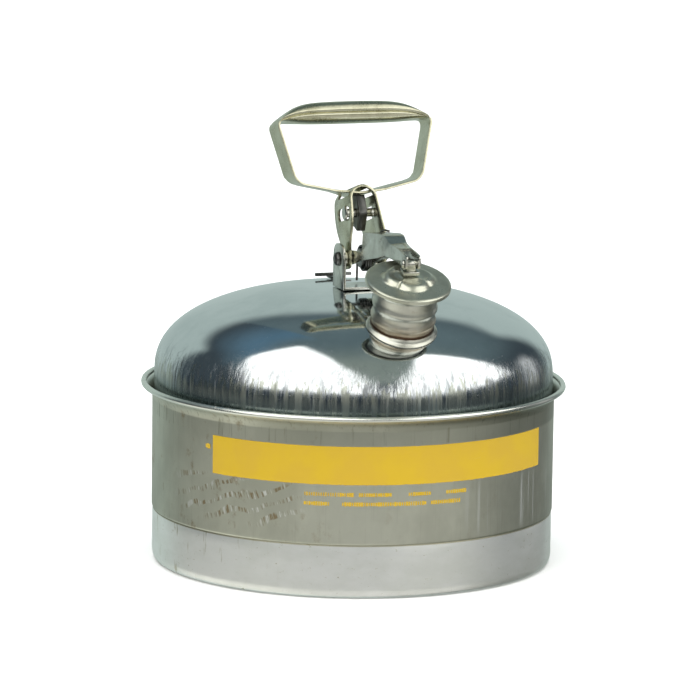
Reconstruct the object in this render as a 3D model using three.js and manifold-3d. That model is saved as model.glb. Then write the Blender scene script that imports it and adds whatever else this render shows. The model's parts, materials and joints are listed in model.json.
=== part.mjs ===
// A squat sheet-metal safety can for flammable liquid, as an assembly of separate pieces.
// Millimetres, +Z up. The origin is the centre of the face that the can stands on.
// The spout points towards -Y, and the handle's grip and every hinge pin lie along X.

import * as THREE from 'three';
import { mergeVertices } from 'three/addons/utils/BufferGeometryUtils.js';
import Module from 'manifold-3d';

const wasm = await Module();
wasm.setup();

// ---------------------------------------------------------------- driving dimensions

const SHEET = 0.9; // thickness of the vessel's sheet
const GAP = 0.3; // clearance between pieces that rest on each other
const ROUND = 48; // facets around the vessel
const FINE = 28; // facets around the spout and the cap

const WALL_RADIUS = 143.5;
const BAND_STEP = 0.5; // how far the base band stands back from the wall
const BAND_HEIGHT = 38;
const BAND_CORNER = 5;
const HEM_WIDTH = 6; // flat ring that the can stands on
const SOCKET_DEPTH = 9; // how far the band's tongue reaches up inside the wall
const PAN_HEIGHT = 13;
const PAN_FLANGE = 9;

const RIM_HEIGHT = 127.2; // centre of the rolled bead
const RIM_FLARE = 8.1; // how far the bead stands out from the wall
const FLARE_HEIGHT = 9;
const BEAD_RADIUS = 2.1;
const DOME_SKIRT = 8; // upright part of the dome above the bead
const DOME_TUCK = 14; // part of the dome below the bead, inside the wall
const DOME_RISE = 69.7;
const DOME_POWER = 2.36; // exponent of the dome's superellipse

const LABEL_THICKNESS = 0.25;
const LABEL_BELOW_RIM = 19.8; // from the bead's centre down to the band's upper edge
const LABEL_HEIGHT = 27;
const LABEL_FROM = -60; // degrees from the front, towards +X
const LABEL_TO = 45;

const SPOUT_TILT = 20; // degrees, outwards from upright
const SPOUT_FROM_WALL = 42.5; // from the wall to the neck's axis, at the dome's surface
const NECK_LENGTH = 36; // from the dome to the face that the cap closes on
const NECK_RADIUS = 21.8;
const NECK_WALL = 1.1;
const NECK_ROOT = 10; // part of the neck inside the dome
const LIP_RADIUS = 25;
const LIP_DROP = 2.2; // from the cap's rim plane to the lip
const BEAD_RISE = 1.2;
const BEAD_HALF = 3.2;
const BEAD_DEPTHS = [15.8, 25.2];
const COLLAR_WALL = 3;
const COLLAR_HEIGHT = 6;

const SCREEN_RADIUS = 18;
const SCREEN_WALL = 0.9;
const SCREEN_LENGTH = 78;
const SCREEN_TOP = 9; // from the cap's rim plane to the screen's upper end

const CAP_RADIUS = 30;
const CAP_SKIRT = 2.4;
const CAP_SHEET = 1.1;
const BOSS_RADIUS = 18;
const BOSS_HEIGHT = 5.2;
const GASKET_THICKNESS = 1.6;
const STEM_WIDTH = 11.6;
const STEM_HEIGHT = 3.6;
const STEM_HALF_DEPTH = 4;
const STEM_LUG_HALF = 3.4;
const CAP_PIN_HEIGHT = 14; // above the cap's rim plane
const CAP_PIN_RADIUS = 1.7;

const PIVOT_Y = -10;
const PIVOT_ABOVE_DOME = 21.3;
const PIVOT_RADIUS = 2.8;
const PIN_CLEARANCE = 0.3;
const STAND_HALF_WIDTH = 16;
const STAND_SHEET = 1.9;
const STAND_HALF_DEPTH = 12;
const STAND_EAR = 11.5;

const HANDLE_LEAN = 15.5; // degrees back from upright, at rest
const YOKE_HALF_WIDTH = 10.2;
const YOKE_SHEET = 1.6;
const YOKE_TOP = 50.5; // above the pivot, along the leaning handle
const YOKE_EAR = 8.5;
const CROSS_PIN = { forward: 6.5, up: 31.5, radius: 3.6 };
const SLOT_RADIUS = 4.5;
const SLOT_BACK = -6;
const SLOT_FRONT = 10;
const LIFT_STUD = { forward: 18.5, up: -8, radius: 2.4 };

const STRAP_WIDTH = 22.5;
const STRAP_SHEET = 2;
const STRAP_FORWARD = 2; // centre of the strap ahead of the handle's centre line
const STRAP_DIP = 43.4; // lowest corner of the strap, above the pivot
const STRAP_SHOULDER = 54;
const STRAP_SHOULDER_HALF = 47.9;
const STRAP_TOP = 99.8;
const STRAP_TOP_HALF = 59.5;
const GRIP_BOTTOM = 96.1;
const GRIP_HEIGHT = 16.2;
const GRIP_HALF_LENGTH = 57;
const GRIP_HALF_DEPTH = 9.6;

const LEVER_SIDE_GAP = 0.6; // on each side, inside the yoke
const LEVER_HALF_WIDTH = YOKE_HALF_WIDTH - YOKE_SHEET - LEVER_SIDE_GAP;
const LEVER_TIP_HALF_WIDTH = 5.4;
const LEVER_SHEET = 1.5;
const LEVER_EAR = 6;
const LEVER_TIP_RADIUS = 3.9;
const LEVER_BACK_EDGE = 29; // where the lever's deep sides begin, forward of the pivot
const HUMP_FROM_TIP = 40;
const HUMP_HEIGHT = 26.6;

const SPRING_WIRE = 0.8; // radius
const SPRING_RADIUS = 8.8;
const SPRING_TURNS = 3;
const SPRING_SPACING = 1.75;
const SPRING_X = 1.2; // where the first turn lies
const SLEEVE_RADIUS = 6.9;

// ---------------------------------------------------------------- derived places

const BAND_RADIUS = WALL_RADIUS - BAND_STEP;
const WALL_INNER = WALL_RADIUS - SHEET;
const DOME_RADIUS = WALL_INNER - GAP;
const DOME_TOP = RIM_HEIGHT + DOME_RISE;
const PIVOT_Z = DOME_TOP + PIVOT_ABOVE_DOME;
const BEAD_CENTRE = WALL_RADIUS + RIM_FLARE - BEAD_RADIUS;

const radians = THREE.MathUtils.degToRad;
const spoutAxis = new THREE.Vector3(0, -Math.sin(radians(SPOUT_TILT)), Math.cos(radians(SPOUT_TILT)));
const spoutFootRadius = WALL_RADIUS - SPOUT_FROM_WALL;
const capCentre = new THREE.Vector3(0, -spoutFootRadius, domeHeight(spoutFootRadius))
  .addScaledVector(spoutAxis, NECK_LENGTH);
const tipPin = capCentre.clone().addScaledVector(spoutAxis, CAP_PIN_HEIGHT);
const tip = { y: tipPin.y - PIVOT_Y, z: tipPin.z - PIVOT_Z };

// Height of the dome's outer surface at a radius.
function domeHeight(radius, outer = DOME_RADIUS, rise = DOME_RISE) {
  const share = Math.min(radius / outer, 1) ** DOME_POWER;
  return RIM_HEIGHT + DOME_SKIRT + (rise - DOME_SKIRT) * (1 - share) ** (1 / DOME_POWER);
}

// ---------------------------------------------------------------- frames and materials

const can = new THREE.Group();

const spoutFrame = new THREE.Group();
spoutFrame.position.copy(capCentre);
spoutFrame.rotation.x = radians(SPOUT_TILT);

const pivotFrame = new THREE.Group();
pivotFrame.position.set(0, PIVOT_Y, PIVOT_Z);

const handleFrame = new THREE.Group();
handleFrame.position.copy(pivotFrame.position);
handleFrame.rotation.x = -radians(HANDLE_LEAN);

can.add(spoutFrame, pivotFrame, handleFrame);
can.updateMatrixWorld(true);

const metal = (color, roughness) => new THREE.MeshStandardMaterial({ color, roughness, metalness: 1 });
const satinSteel = metal(0x9a9a92, 0.45);
const polishedSteel = metal(0xaeb4b6, 0.2);
const paleSteel = metal(0xb4b5b0, 0.5);
const warmSteel = metal(0x9b9384, 0.35);
const brightPlate = metal(0xa8a89c, 0.3);
const springSteel = metal(0x55544f, 0.35);
const meshSteel = metal(0x7d7c76, 0.5);
const gasketRubber = new THREE.MeshStandardMaterial({ color: 0x1b1b1b, roughness: 0.85, metalness: 0 });
const yellowPaint = new THREE.MeshStandardMaterial({ color: 0xe0bb3c, roughness: 0.55, metalness: 0 });

function addPiece(frame, name, geometry, material) {
  const mesh = new THREE.Mesh(geometry, material);
  mesh.name = name;
  frame.add(mesh);
}

// ---------------------------------------------------------------- shape helpers

// A closed geometry as a manifold solid.
function solidOf(geometry) {
  const bare = geometry.clone();
  bare.deleteAttribute('normal');
  bare.deleteAttribute('uv');
  const merged = mergeVertices(bare, 1e-4);
  const corners = merged.index.array;
  const triVerts = [];
  for (let i = 0; i < corners.length; i += 3) {
    const [a, b, c] = corners.slice(i, i + 3);
    if (a !== b && b !== c && c !== a) triVerts.push(a, b, c);
  }
  return new wasm.Manifold(new wasm.Mesh({
    numProp: 3,
    vertProperties: Float32Array.from(merged.attributes.position.array),
    triVerts: Uint32Array.from(triVerts),
  }));
}

function geometryOf(solid) {
  const mesh = solid.getMesh();
  const geometry = new THREE.BufferGeometry();
  geometry.setAttribute('position', new THREE.BufferAttribute(mesh.vertProperties, 3));
  geometry.setIndex(new THREE.BufferAttribute(mesh.triVerts, 1));
  geometry.computeVertexNormals();
  return geometry;
}

const without = (geometry, ...cutters) =>
  geometryOf(cutters.reduce((solid, cutter) => solid.subtract(solidOf(cutter)), solidOf(geometry)));

// A closed profile of [radius, height] points, listed counter-clockwise, turned about Z.
function turned(profile, segments, closes = true) {
  const points = profile.map(([radius, height]) => new THREE.Vector2(radius, height));
  if (closes) points.push(points[0].clone());
  return new THREE.LatheGeometry(points, segments).rotateX(Math.PI / 2);
}

// A ring between two radii and two heights.
const ring = (inner, outer, low, high, segments = FINE) =>
  turned([[inner, low], [outer, low], [outer, high], [inner, high]], segments);

// A solid disc or rod on the Z axis.
const rod = (radius, low, high, segments = 20) =>
  turned([[0, low], [radius, low], [radius, high], [0, high]], segments, false);

// The same pieces lying along X.
const alongX = (geometry) => geometry.rotateY(Math.PI / 2);

// A shape drawn in (Y, Z), given its thickness from one X to another.
function sidePlate(shape, fromX, toX, curveSegments = 4) {
  const plate = new THREE.ExtrudeGeometry(shape, { depth: toX - fromX, bevelEnabled: false, curveSegments });
  const basis = new THREE.Matrix4().makeBasis(
    new THREE.Vector3(0, 1, 0), new THREE.Vector3(0, 0, 1), new THREE.Vector3(1, 0, 0));
  return plate.applyMatrix4(basis).translate(fromX, 0, 0);
}

// A polygon of [a, b, radius] corners. Each is rounded by a curve that starts its radius before
// the corner, or a little under half way along a short edge.
function roundedOutline(corners, Outline = THREE.Shape) {
  const outline = new Outline();
  corners.forEach(([a, b, radius = 0], i) => {
    const here = new THREE.Vector2(a, b);
    const before = new THREE.Vector2(...corners.at(i - 1)).sub(here);
    const after = new THREE.Vector2(...corners[(i + 1) % corners.length]).sub(here);
    const reach = Math.min(radius, 0.48 * before.length(), 0.48 * after.length());
    const start = here.clone().add(before.setLength(reach));
    const end = here.clone().add(after.setLength(reach));
    if (i === 0) outline.moveTo(start.x, start.y);
    else outline.lineTo(start.x, start.y);
    if (radius > 0) outline.quadraticCurveTo(a, b, end.x, end.y);
  });
  outline.closePath();
  return outline;
}

const boxBetween = ([x0, y0, z0], [x1, y1, z1]) =>
  new THREE.BoxGeometry(x1 - x0, y1 - y0, z1 - z0).translate((x0 + x1) / 2, (y0 + y1) / 2, (z0 + z1) / 2);

// A rod along X through the point (y, z).
const crossRod = (radius, fromX, toX, y = 0, z = 0, segments = 16) =>
  alongX(rod(radius, fromX, toX, segments)).translate(0, y, z);

// ---------------------------------------------------------------- vessel

function baseBand() {
  const tongue = WALL_INNER - GAP;
  return turned([
    [BAND_RADIUS - BAND_CORNER - HEM_WIDTH, 0],
    [BAND_RADIUS - BAND_CORNER, 0],
    [BAND_RADIUS - BAND_CORNER * 0.3, BAND_CORNER * 0.3],
    [BAND_RADIUS, BAND_CORNER],
    [BAND_RADIUS, BAND_HEIGHT - GAP],
    [tongue, BAND_HEIGHT - GAP],
    [tongue, BAND_HEIGHT + SOCKET_DEPTH],
    [tongue - SHEET, BAND_HEIGHT + SOCKET_DEPTH],
    [tongue - SHEET, BAND_HEIGHT - 2 * SHEET],
    [BAND_RADIUS - SHEET, BAND_HEIGHT - 3 * SHEET],
    [BAND_RADIUS - SHEET, BAND_CORNER + SHEET],
    [BAND_RADIUS - BAND_CORNER, SHEET],
    [BAND_RADIUS - BAND_CORNER - HEM_WIDTH, SHEET],
  ], ROUND);
}

function bottomPan() {
  const edge = BAND_RADIUS - SHEET - GAP;
  return turned([
    [0, PAN_HEIGHT],
    [edge - SHEET, PAN_HEIGHT],
    [edge - SHEET, PAN_HEIGHT - PAN_FLANGE + BAND_CORNER],
    [edge, PAN_HEIGHT - PAN_FLANGE + BAND_CORNER],
    [edge, PAN_HEIGHT + SHEET],
    [0, PAN_HEIGHT + SHEET],
  ], ROUND, false);
}

function bodyWall() {
  const flareFoot = RIM_HEIGHT - FLARE_HEIGHT;
  const bead = [-125, -65, -5, 55, 115, 175].map((degrees) => [
    BEAD_CENTRE + BEAD_RADIUS * Math.cos(radians(degrees)),
    RIM_HEIGHT + BEAD_RADIUS * Math.sin(radians(degrees)),
  ]);
  return turned([
    [WALL_RADIUS, BAND_HEIGHT],
    [WALL_RADIUS, flareFoot],
    [WALL_RADIUS + RIM_FLARE * 0.25, flareFoot + FLARE_HEIGHT * 0.5],
    ...bead,
    [WALL_RADIUS + RIM_FLARE * 0.25 - SHEET, flareFoot + FLARE_HEIGHT * 0.55],
    [WALL_INNER, flareFoot + SHEET],
    [WALL_INNER, BAND_HEIGHT],
  ], ROUND);
}

// Half of the dome's section, from one end of its curve to the other.
function domeCurve(outer, rise, steps = 9) {
  const points = [];
  for (let i = 0; i <= steps; i += 1) {
    const angle = (i / steps) * (Math.PI / 2);
    const radius = i === steps ? 0 : outer * Math.cos(angle) ** (2 / DOME_POWER);
    points.push([radius, domeHeight(radius, outer, rise)]);
  }
  return points;
}

function domeShell(outer = DOME_RADIUS, rise = DOME_RISE, thickness = SHEET) {
  const foot = RIM_HEIGHT - DOME_TUCK;
  return turned([
    ...domeCurve(outer - thickness, rise - thickness).reverse(),
    [outer - thickness, foot],
    [outer, foot],
    ...domeCurve(outer, rise),
  ], ROUND, false);
}

const toCanFrame = (geometry) => geometry.applyMatrix4(spoutFrame.matrixWorld);
const toSpoutFrame = (geometry) => geometry.applyMatrix4(spoutFrame.matrixWorld.clone().invert());

function domeTop() {
  const hole = toCanFrame(rod(NECK_RADIUS + GAP, -NECK_LENGTH - 40, -5, FINE));
  return without(domeShell(), hole);
}

function labelBand() {
  const inner = WALL_RADIUS + 0.05;
  const from = radians(LABEL_FROM - 90);
  const to = radians(LABEL_TO - 90);
  const outline = new THREE.Shape();
  outline.absarc(0, 0, inner + LABEL_THICKNESS, from, to, false);
  outline.absarc(0, 0, inner, to, from, true);
  const curveSegments = Math.round(((LABEL_TO - LABEL_FROM) / 360) * ROUND);
  return new THREE.ExtrudeGeometry(outline, { depth: LABEL_HEIGHT, bevelEnabled: false, curveSegments })
    .translate(0, 0, RIM_HEIGHT - LABEL_BELOW_RIM - LABEL_HEIGHT);
}

addPiece(can, 'base_band', baseBand(), paleSteel);
addPiece(can, 'bottom_pan', bottomPan(), satinSteel);
addPiece(can, 'body_wall', bodyWall(), satinSteel);
addPiece(can, 'dome_top', domeTop(), polishedSteel);
addPiece(can, 'label_band', labelBand(), yellowPaint);

// ---------------------------------------------------------------- spout

function spoutNeck() {
  const bottom = -NECK_LENGTH - NECK_ROOT;
  const lip = -LIP_DROP;
  const outside = [...BEAD_DEPTHS].reverse().flatMap((depth) => [
    [NECK_RADIUS, -depth - BEAD_HALF],
    [NECK_RADIUS + BEAD_RISE * 0.75, -depth - BEAD_HALF * 0.6],
    [NECK_RADIUS + BEAD_RISE, -depth],
    [NECK_RADIUS + BEAD_RISE * 0.75, -depth + BEAD_HALF * 0.6],
    [NECK_RADIUS, -depth + BEAD_HALF],
  ]);
  return turned([
    [NECK_RADIUS - NECK_WALL, bottom],
    [NECK_RADIUS, bottom],
    ...outside,
    [NECK_RADIUS, lip - 4.5],
    [LIP_RADIUS - 0.8, lip - 2],
    [LIP_RADIUS, lip - 1],
    [LIP_RADIUS - 0.8, lip],
    [NECK_RADIUS - NECK_WALL + 0.6, lip],
    [NECK_RADIUS - NECK_WALL, lip - 0.8],
  ], FINE);
}

// The collar's foot follows the dome, with the usual gap.
function neckCollar() {
  const inner = NECK_RADIUS + GAP;
  const outer = inner + COLLAR_WALL;
  const top = -NECK_LENGTH + COLLAR_HEIGHT * 0.35;
  const blank = turned([
    [inner, top - COLLAR_HEIGHT - 8],
    [outer, top - COLLAR_HEIGHT - 8],
    [outer, top - COLLAR_HEIGHT * 0.5],
    [outer - COLLAR_WALL * 0.5, top - COLLAR_HEIGHT * 0.15],
    [inner, top],
  ], FINE);
  const belowDome = turned([
    [0, RIM_HEIGHT - DOME_TUCK],
    [DOME_RADIUS + GAP, RIM_HEIGHT - DOME_TUCK],
    ...domeCurve(DOME_RADIUS + GAP, DOME_RISE + GAP),
  ], ROUND, false);
  return without(blank, toSpoutFrame(belowDome));
}

function arresterRim() {
  const bore = NECK_RADIUS - NECK_WALL;
  const flangeTop = -SCREEN_TOP + 3.5;
  return turned([
    [SCREEN_RADIUS - SCREEN_WALL, -SCREEN_TOP + GAP],
    [bore - GAP, -SCREEN_TOP + GAP],
    [bore - GAP, flangeTop],
    [bore - GAP - 1, flangeTop],
    [SCREEN_RADIUS - SCREEN_WALL, flangeTop - 1.2],
  ], FINE);
}

const screenFoot = -SCREEN_TOP - SCREEN_LENGTH;

function screenEnd() {
  const outer = SCREEN_RADIUS + GAP + SCREEN_WALL;
  return turned([
    [0, screenFoot - GAP - SCREEN_WALL],
    [outer, screenFoot - GAP - SCREEN_WALL],
    [outer, screenFoot + 5],
    [SCREEN_RADIUS + GAP, screenFoot + 5],
    [SCREEN_RADIUS + GAP, screenFoot - GAP],
    [0, screenFoot - GAP],
  ], 24, false);
}

addPiece(spoutFrame, 'spout_neck', spoutNeck(), warmSteel);
addPiece(spoutFrame, 'neck_collar', neckCollar(), warmSteel);
addPiece(spoutFrame, 'arrester_rim', arresterRim(), brightPlate);
addPiece(spoutFrame, 'arrester_screen',
  ring(SCREEN_RADIUS - SCREEN_WALL, SCREEN_RADIUS, screenFoot, -SCREEN_TOP, 24), meshSteel);
addPiece(spoutFrame, 'arrester_end', screenEnd(), meshSteel);

// ---------------------------------------------------------------- cap

const gasketTop = -LIP_DROP + GAP + GASKET_THICKNESS;
const capUnder = gasketTop + 0.1;
const rivetRadius = 2.4;

function capShell() {
  const rimTop = capUnder + CAP_SHEET;
  const bossFoot = BOSS_RADIUS + 1.4;
  return turned([
    [rivetRadius + GAP, BOSS_HEIGHT - CAP_SHEET],
    [BOSS_RADIUS - 4.2, BOSS_HEIGHT - CAP_SHEET],
    [BOSS_RADIUS - 1.4, BOSS_HEIGHT - 2.4 * CAP_SHEET],
    [bossFoot - CAP_SHEET, capUnder + 0.4],
    [CAP_RADIUS - CAP_SHEET, capUnder],
    [CAP_RADIUS - CAP_SHEET, -CAP_SKIRT],
    [CAP_RADIUS, -CAP_SKIRT],
    [CAP_RADIUS, rimTop - 1],
    [CAP_RADIUS - 1, rimTop],
    [bossFoot, rimTop + 0.7],
    [BOSS_RADIUS - 0.4, BOSS_HEIGHT - 1.6],
    [BOSS_RADIUS - 3.4, BOSS_HEIGHT],
    [rivetRadius + GAP, BOSS_HEIGHT],
  ], FINE);
}

function capStem() {
  const low = BOSS_HEIGHT + GAP;
  const shoulder = low + STEM_HEIGHT;
  const block = boxBetween([-STEM_WIDTH / 2, -STEM_HALF_DEPTH, low], [STEM_WIDTH / 2, STEM_HALF_DEPTH, shoulder]);
  const lug = sidePlate(roundedOutline([
    [-STEM_HALF_DEPTH, shoulder - 1],
    [STEM_HALF_DEPTH, shoulder - 1],
    [STEM_HALF_DEPTH, CAP_PIN_HEIGHT + 3.4, 3.5],
    [-STEM_HALF_DEPTH, CAP_PIN_HEIGHT + 3.4, 3.5],
  ]), -STEM_LUG_HALF, STEM_LUG_HALF);
  const pinHole = crossRod(CAP_PIN_RADIUS + GAP, -10, 10, 0, CAP_PIN_HEIGHT);
  const rivetHole = rod(rivetRadius + GAP, low - 1, shoulder - 1.2);
  return geometryOf(solidOf(block).add(solidOf(lug)).subtract(solidOf(pinHole)).subtract(solidOf(rivetHole)));
}

const retainerTop = BOSS_HEIGHT - CAP_SHEET - GAP;

// The rivet runs from inside the stem down to its head below the retainer.
function capRivet() {
  const head = -LIP_DROP - 3.2;
  return turned([
    [0, head],
    [4.2, head],
    [5, head + 1],
    [5, head + 1.8],
    [rivetRadius, head + 1.8],
    [rivetRadius, BOSS_HEIGHT + STEM_HEIGHT - 1.5],
    [0, BOSS_HEIGHT + STEM_HEIGHT - 1.5],
  ], 20, false);
}

// A dished washer that holds the gasket up from inside the boss.
function gasketRetainer() {
  const under = -LIP_DROP - 1.1;
  return turned([
    [rivetRadius + GAP, under],
    [17.6, under],
    [18.4, under + 1],
    [17.6, under + 1],
    [rivetRadius + 1.6, under + 1],
    [rivetRadius + 1.6, retainerTop],
    [rivetRadius + GAP, retainerTop],
  ], FINE);
}

addPiece(spoutFrame, 'cap_shell', capShell(), warmSteel);
addPiece(spoutFrame, 'cap_gasket',
  ring(16.4, CAP_RADIUS - CAP_SHEET - 1.8, -LIP_DROP + GAP, gasketTop), gasketRubber);
addPiece(spoutFrame, 'gasket_retainer', gasketRetainer(), brightPlate);
addPiece(spoutFrame, 'cap_stem', capStem(), brightPlate);
addPiece(spoutFrame, 'cap_rivet', capRivet(), brightPlate);

// ---------------------------------------------------------------- stand and pivot

function handleStand() {
  const foot = DOME_TOP + GAP - PIVOT_Z;
  const side = roundedOutline([
    [-STAND_HALF_DEPTH, foot],
    [STAND_HALF_DEPTH, foot],
    [STAND_EAR, STAND_EAR * 0.96, STAND_EAR * 0.9],
    [-STAND_EAR, STAND_EAR * 0.96, STAND_EAR * 0.9],
  ]);
  const inside = STAND_HALF_WIDTH - STAND_SHEET;
  return without(
    sidePlate(side, -STAND_HALF_WIDTH, STAND_HALF_WIDTH),
    boxBetween([-inside, -30, foot + STAND_SHEET], [inside, 30, 30]),
    crossRod(PIVOT_RADIUS + PIN_CLEARANCE, -30, 30),
  );
}

// The pin's left head is formed on it, and its right end passes through a push-on nut.
function pivotPin() {
  const face = STAND_HALF_WIDTH + GAP;
  const profile = [
    [0, -face - 3],
    [3.4, -face - 3],
    [5, -face - 1.6],
    [5, -face],
    [PIVOT_RADIUS, -face],
    [PIVOT_RADIUS, face + 3.4],
    [PIVOT_RADIUS - 0.8, face + 4.2],
    [0, face + 4.2],
  ];
  return alongX(turned(profile, 20, false));
}

// A washer about the pivot, between two X places.
const pivotWasher = (radius, fromX, toX, segments = 20) =>
  alongX(ring(PIVOT_RADIUS + PIN_CLEARANCE, radius, fromX, toX, segments));

const washerInner = YOKE_HALF_WIDTH + GAP;
const washerOuter = STAND_HALF_WIDTH - STAND_SHEET - GAP;
const springLength = SPRING_TURNS * SPRING_SPACING;

// A coil about the pivot with one leg down to the stand and one forward over the lever.
function torsionSpring() {
  const points = [];
  const legBack = 9.5;
  const legFoot = DOME_TOP + 2 * GAP + STAND_SHEET + SPRING_WIRE - PIVOT_Z;
  points.push(new THREE.Vector3(SPRING_X, legBack, legFoot));
  points.push(new THREE.Vector3(SPRING_X, legBack - 0.6, legFoot + 3.5));
  const stepsPerTurn = 12;
  const coilSteps = SPRING_TURNS * stepsPerTurn + stepsPerTurn / 4;
  for (let i = 0; i <= coilSteps; i += 1) {
    const angle = (i / stepsPerTurn) * 2 * Math.PI;
    const x = SPRING_X + (i / stepsPerTurn) * SPRING_SPACING;
    points.push(new THREE.Vector3(x, SPRING_RADIUS * Math.cos(angle), SPRING_RADIUS * Math.sin(angle)));
  }
  const legX = points.at(-1).x;
  const webTop = leverTop(-LEVER_BACK_EDGE - 6) + GAP + SPRING_WIRE;
  points.push(new THREE.Vector3(legX, -9, SPRING_RADIUS + 3.2));
  points.push(new THREE.Vector3(legX, -LEVER_BACK_EDGE + 2, webTop - 0.4));
  points.push(new THREE.Vector3(legX, -LEVER_BACK_EDGE - 13, leverTop(-LEVER_BACK_EDGE - 13) + GAP + SPRING_WIRE));
  const route = new THREE.CatmullRomCurve3(points, false, 'centripetal');
  const section = new THREE.Shape().absarc(0, 0, SPRING_WIRE, 0, 2 * Math.PI, false);
  return new THREE.ExtrudeGeometry(section, {
    steps: 84, bevelEnabled: false, extrudePath: route, curveSegments: 3 });
}

// A low clip on the dome behind the stand.
function rearClip() {
  const back = 50;
  const seat = domeHeight(back - 8) + GAP;
  return sidePlate(roundedOutline([
    [back - 12, seat],
    [back - 1.8, seat],
    [back - 1.8, seat - 0.2],
    [back, seat - 0.2],
    [back, seat + 4.6, 0.8],
    [back - 1.8, seat + 4.6, 0.8],
    [back - 1.8, seat + 1.8],
    [back - 12, seat + 1.8],
  ]), -13.5, 13.5, 3);
}

addPiece(pivotFrame, 'handle_stand', handleStand(), brightPlate);
addPiece(pivotFrame, 'pivot_pin', pivotPin(), springSteel);
addPiece(pivotFrame, 'pivot_push_nut',
  pivotWasher(5.6, STAND_HALF_WIDTH + GAP, STAND_HALF_WIDTH + 2.1), brightPlate);
addPiece(pivotFrame, 'yoke_washer_left', pivotWasher(5.8, -washerOuter, -washerInner), brightPlate);
addPiece(pivotFrame, 'yoke_washer_right', pivotWasher(5.8, washerInner, washerOuter), brightPlate);
addPiece(pivotFrame, 'spring_sleeve',
  pivotWasher(SLEEVE_RADIUS, -0.3, LEVER_HALF_WIDTH - LEVER_SHEET - GAP), springSteel);
addPiece(pivotFrame, 'torsion_spring', torsionSpring(), springSteel);
addPiece(can, 'rear_clip', rearClip(), springSteel);

// ---------------------------------------------------------------- lid lever

// Top line of the lever, relative to the pivot, for a place behind the tip.
function leverTop(y) {
  const hump = tip.y + HUMP_FROM_TIP;
  const backHeight = HUMP_HEIGHT - 4;
  const share = (y + LEVER_BACK_EDGE) / (hump + LEVER_BACK_EDGE);
  return backHeight + (HUMP_HEIGHT - backHeight) * share;
}

function leverSide() {
  const hump = tip.y + HUMP_FROM_TIP;
  const slope = 6 / 28;
  const arm = LEVER_EAR - 0.6;
  return roundedOutline([
    [arm, arm * 0.3, 3],
    [2, arm * 1.05, 3],
    [-LEVER_BACK_EDGE + 2, LEVER_BACK_EDGE * slope + 2.8, 1],
    [-LEVER_BACK_EDGE, leverTop(-LEVER_BACK_EDGE), 2],
    [hump + 5, HUMP_HEIGHT, 3],
    [hump - 5, HUMP_HEIGHT, 3],
    [hump - 13, HUMP_HEIGHT - 4.4, 3],
    [tip.y + 3, tip.z + 7.2, 2],
    [tip.y - 5.6, tip.z + 5.6, 2.5],
    [tip.y - 4, tip.z - LEVER_TIP_RADIUS, 3],
    [tip.y + 2, tip.z - LEVER_TIP_RADIUS, 2],
    [tip.y + 6, tip.z - 1.4],
    [tip.y + 36, tip.z + 0.6, 2],
    [tip.y + 48, tip.z - 3, 4],
    [-LEVER_BACK_EDGE - 3, LEVER_BACK_EDGE * slope - 2.6, 3],
    [-4, -arm * 0.75, 3],
    [arm * 0.7, -arm, 4],
  ]);
}

// A plan outline that narrows from the lever's rear width to its tip width.
function leverPlan(inset) {
  const rear = LEVER_HALF_WIDTH - inset;
  const front = LEVER_TIP_HALF_WIDTH - inset;
  const narrowFrom = tip.y + 44;
  const narrowTo = tip.y + 16;
  const plan = roundedOutline([
    [rear, 20], [-rear, 20], [-rear, narrowFrom], [-front, narrowTo],
    [-front, tip.y - 12], [front, tip.y - 12], [front, narrowTo], [rear, narrowFrom],
  ]);
  return new THREE.ExtrudeGeometry(plan, { depth: 80, bevelEnabled: false }).translate(0, 0, -30);
}

function lidLever() {
  const block = solidOf(sidePlate(leverSide(), -LEVER_HALF_WIDTH, LEVER_HALF_WIDTH))
    .intersect(solidOf(leverPlan(0)));
  const room = solidOf(leverPlan(LEVER_SHEET)).subtract(solidOf(sidePlate(leverWeb(), -20, 20)));
  return geometryOf(block
    .subtract(room)
    .subtract(solidOf(crossRod(PIVOT_RADIUS + PIN_CLEARANCE, -20, 20)))
    .subtract(solidOf(crossRod(CAP_PIN_RADIUS + GAP / 3, -20, 20, tip.y, tip.z))));
}

// The lever's top plate, which stops short of the fork and of the pivot.
function leverWeb() {
  const hump = tip.y + HUMP_FROM_TIP;
  const top = (y, drop) => [y, leverTop(y) - drop];
  return roundedOutline([
    top(-LEVER_BACK_EDGE, -6),
    [hump + 5, HUMP_HEIGHT + 6],
    [tip.y + 12, tip.z + 20],
    [tip.y + 12, tip.z + 6.8],
    [hump - 13, HUMP_HEIGHT - 4.4 - LEVER_SHEET],
    [hump - 5, HUMP_HEIGHT - LEVER_SHEET],
    [hump + 5, HUMP_HEIGHT - LEVER_SHEET],
    top(-LEVER_BACK_EDGE, LEVER_SHEET),
  ]);
}

// A small pin with two heads outside the lever's fork.
function capPin() {
  const face = LEVER_TIP_HALF_WIDTH + GAP;
  return alongX(turned([
    [0, -face - 1.4],
    [2.4, -face - 1.4],
    [2.9, -face],
    [CAP_PIN_RADIUS, -face],
    [CAP_PIN_RADIUS, face],
    [2.9, face],
    [2.4, face + 1.4],
    [0, face + 1.4],
  ], 16, false)).translate(0, tip.y, tip.z);
}

addPiece(pivotFrame, 'lid_lever', lidLever(), brightPlate);
addPiece(pivotFrame, 'cap_pin', capPin(), brightPlate);

// ---------------------------------------------------------------- handle

// Outlines are drawn in (Y, Z) of the leaning handle, so forward is towards -Y.
function yokeOutline(front) {
  return roundedOutline([
    [YOKE_EAR * 0.9, -YOKE_EAR * 0.9, 5.5],
    [YOKE_EAR + 0.5, 9, 5],
    [18, 24, 7],
    [18.5, 38, 6],
    [13, YOKE_TOP + 1, 0],
    [-17, YOKE_TOP + 1, 0],
    ...front,
  ]);
}

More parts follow.
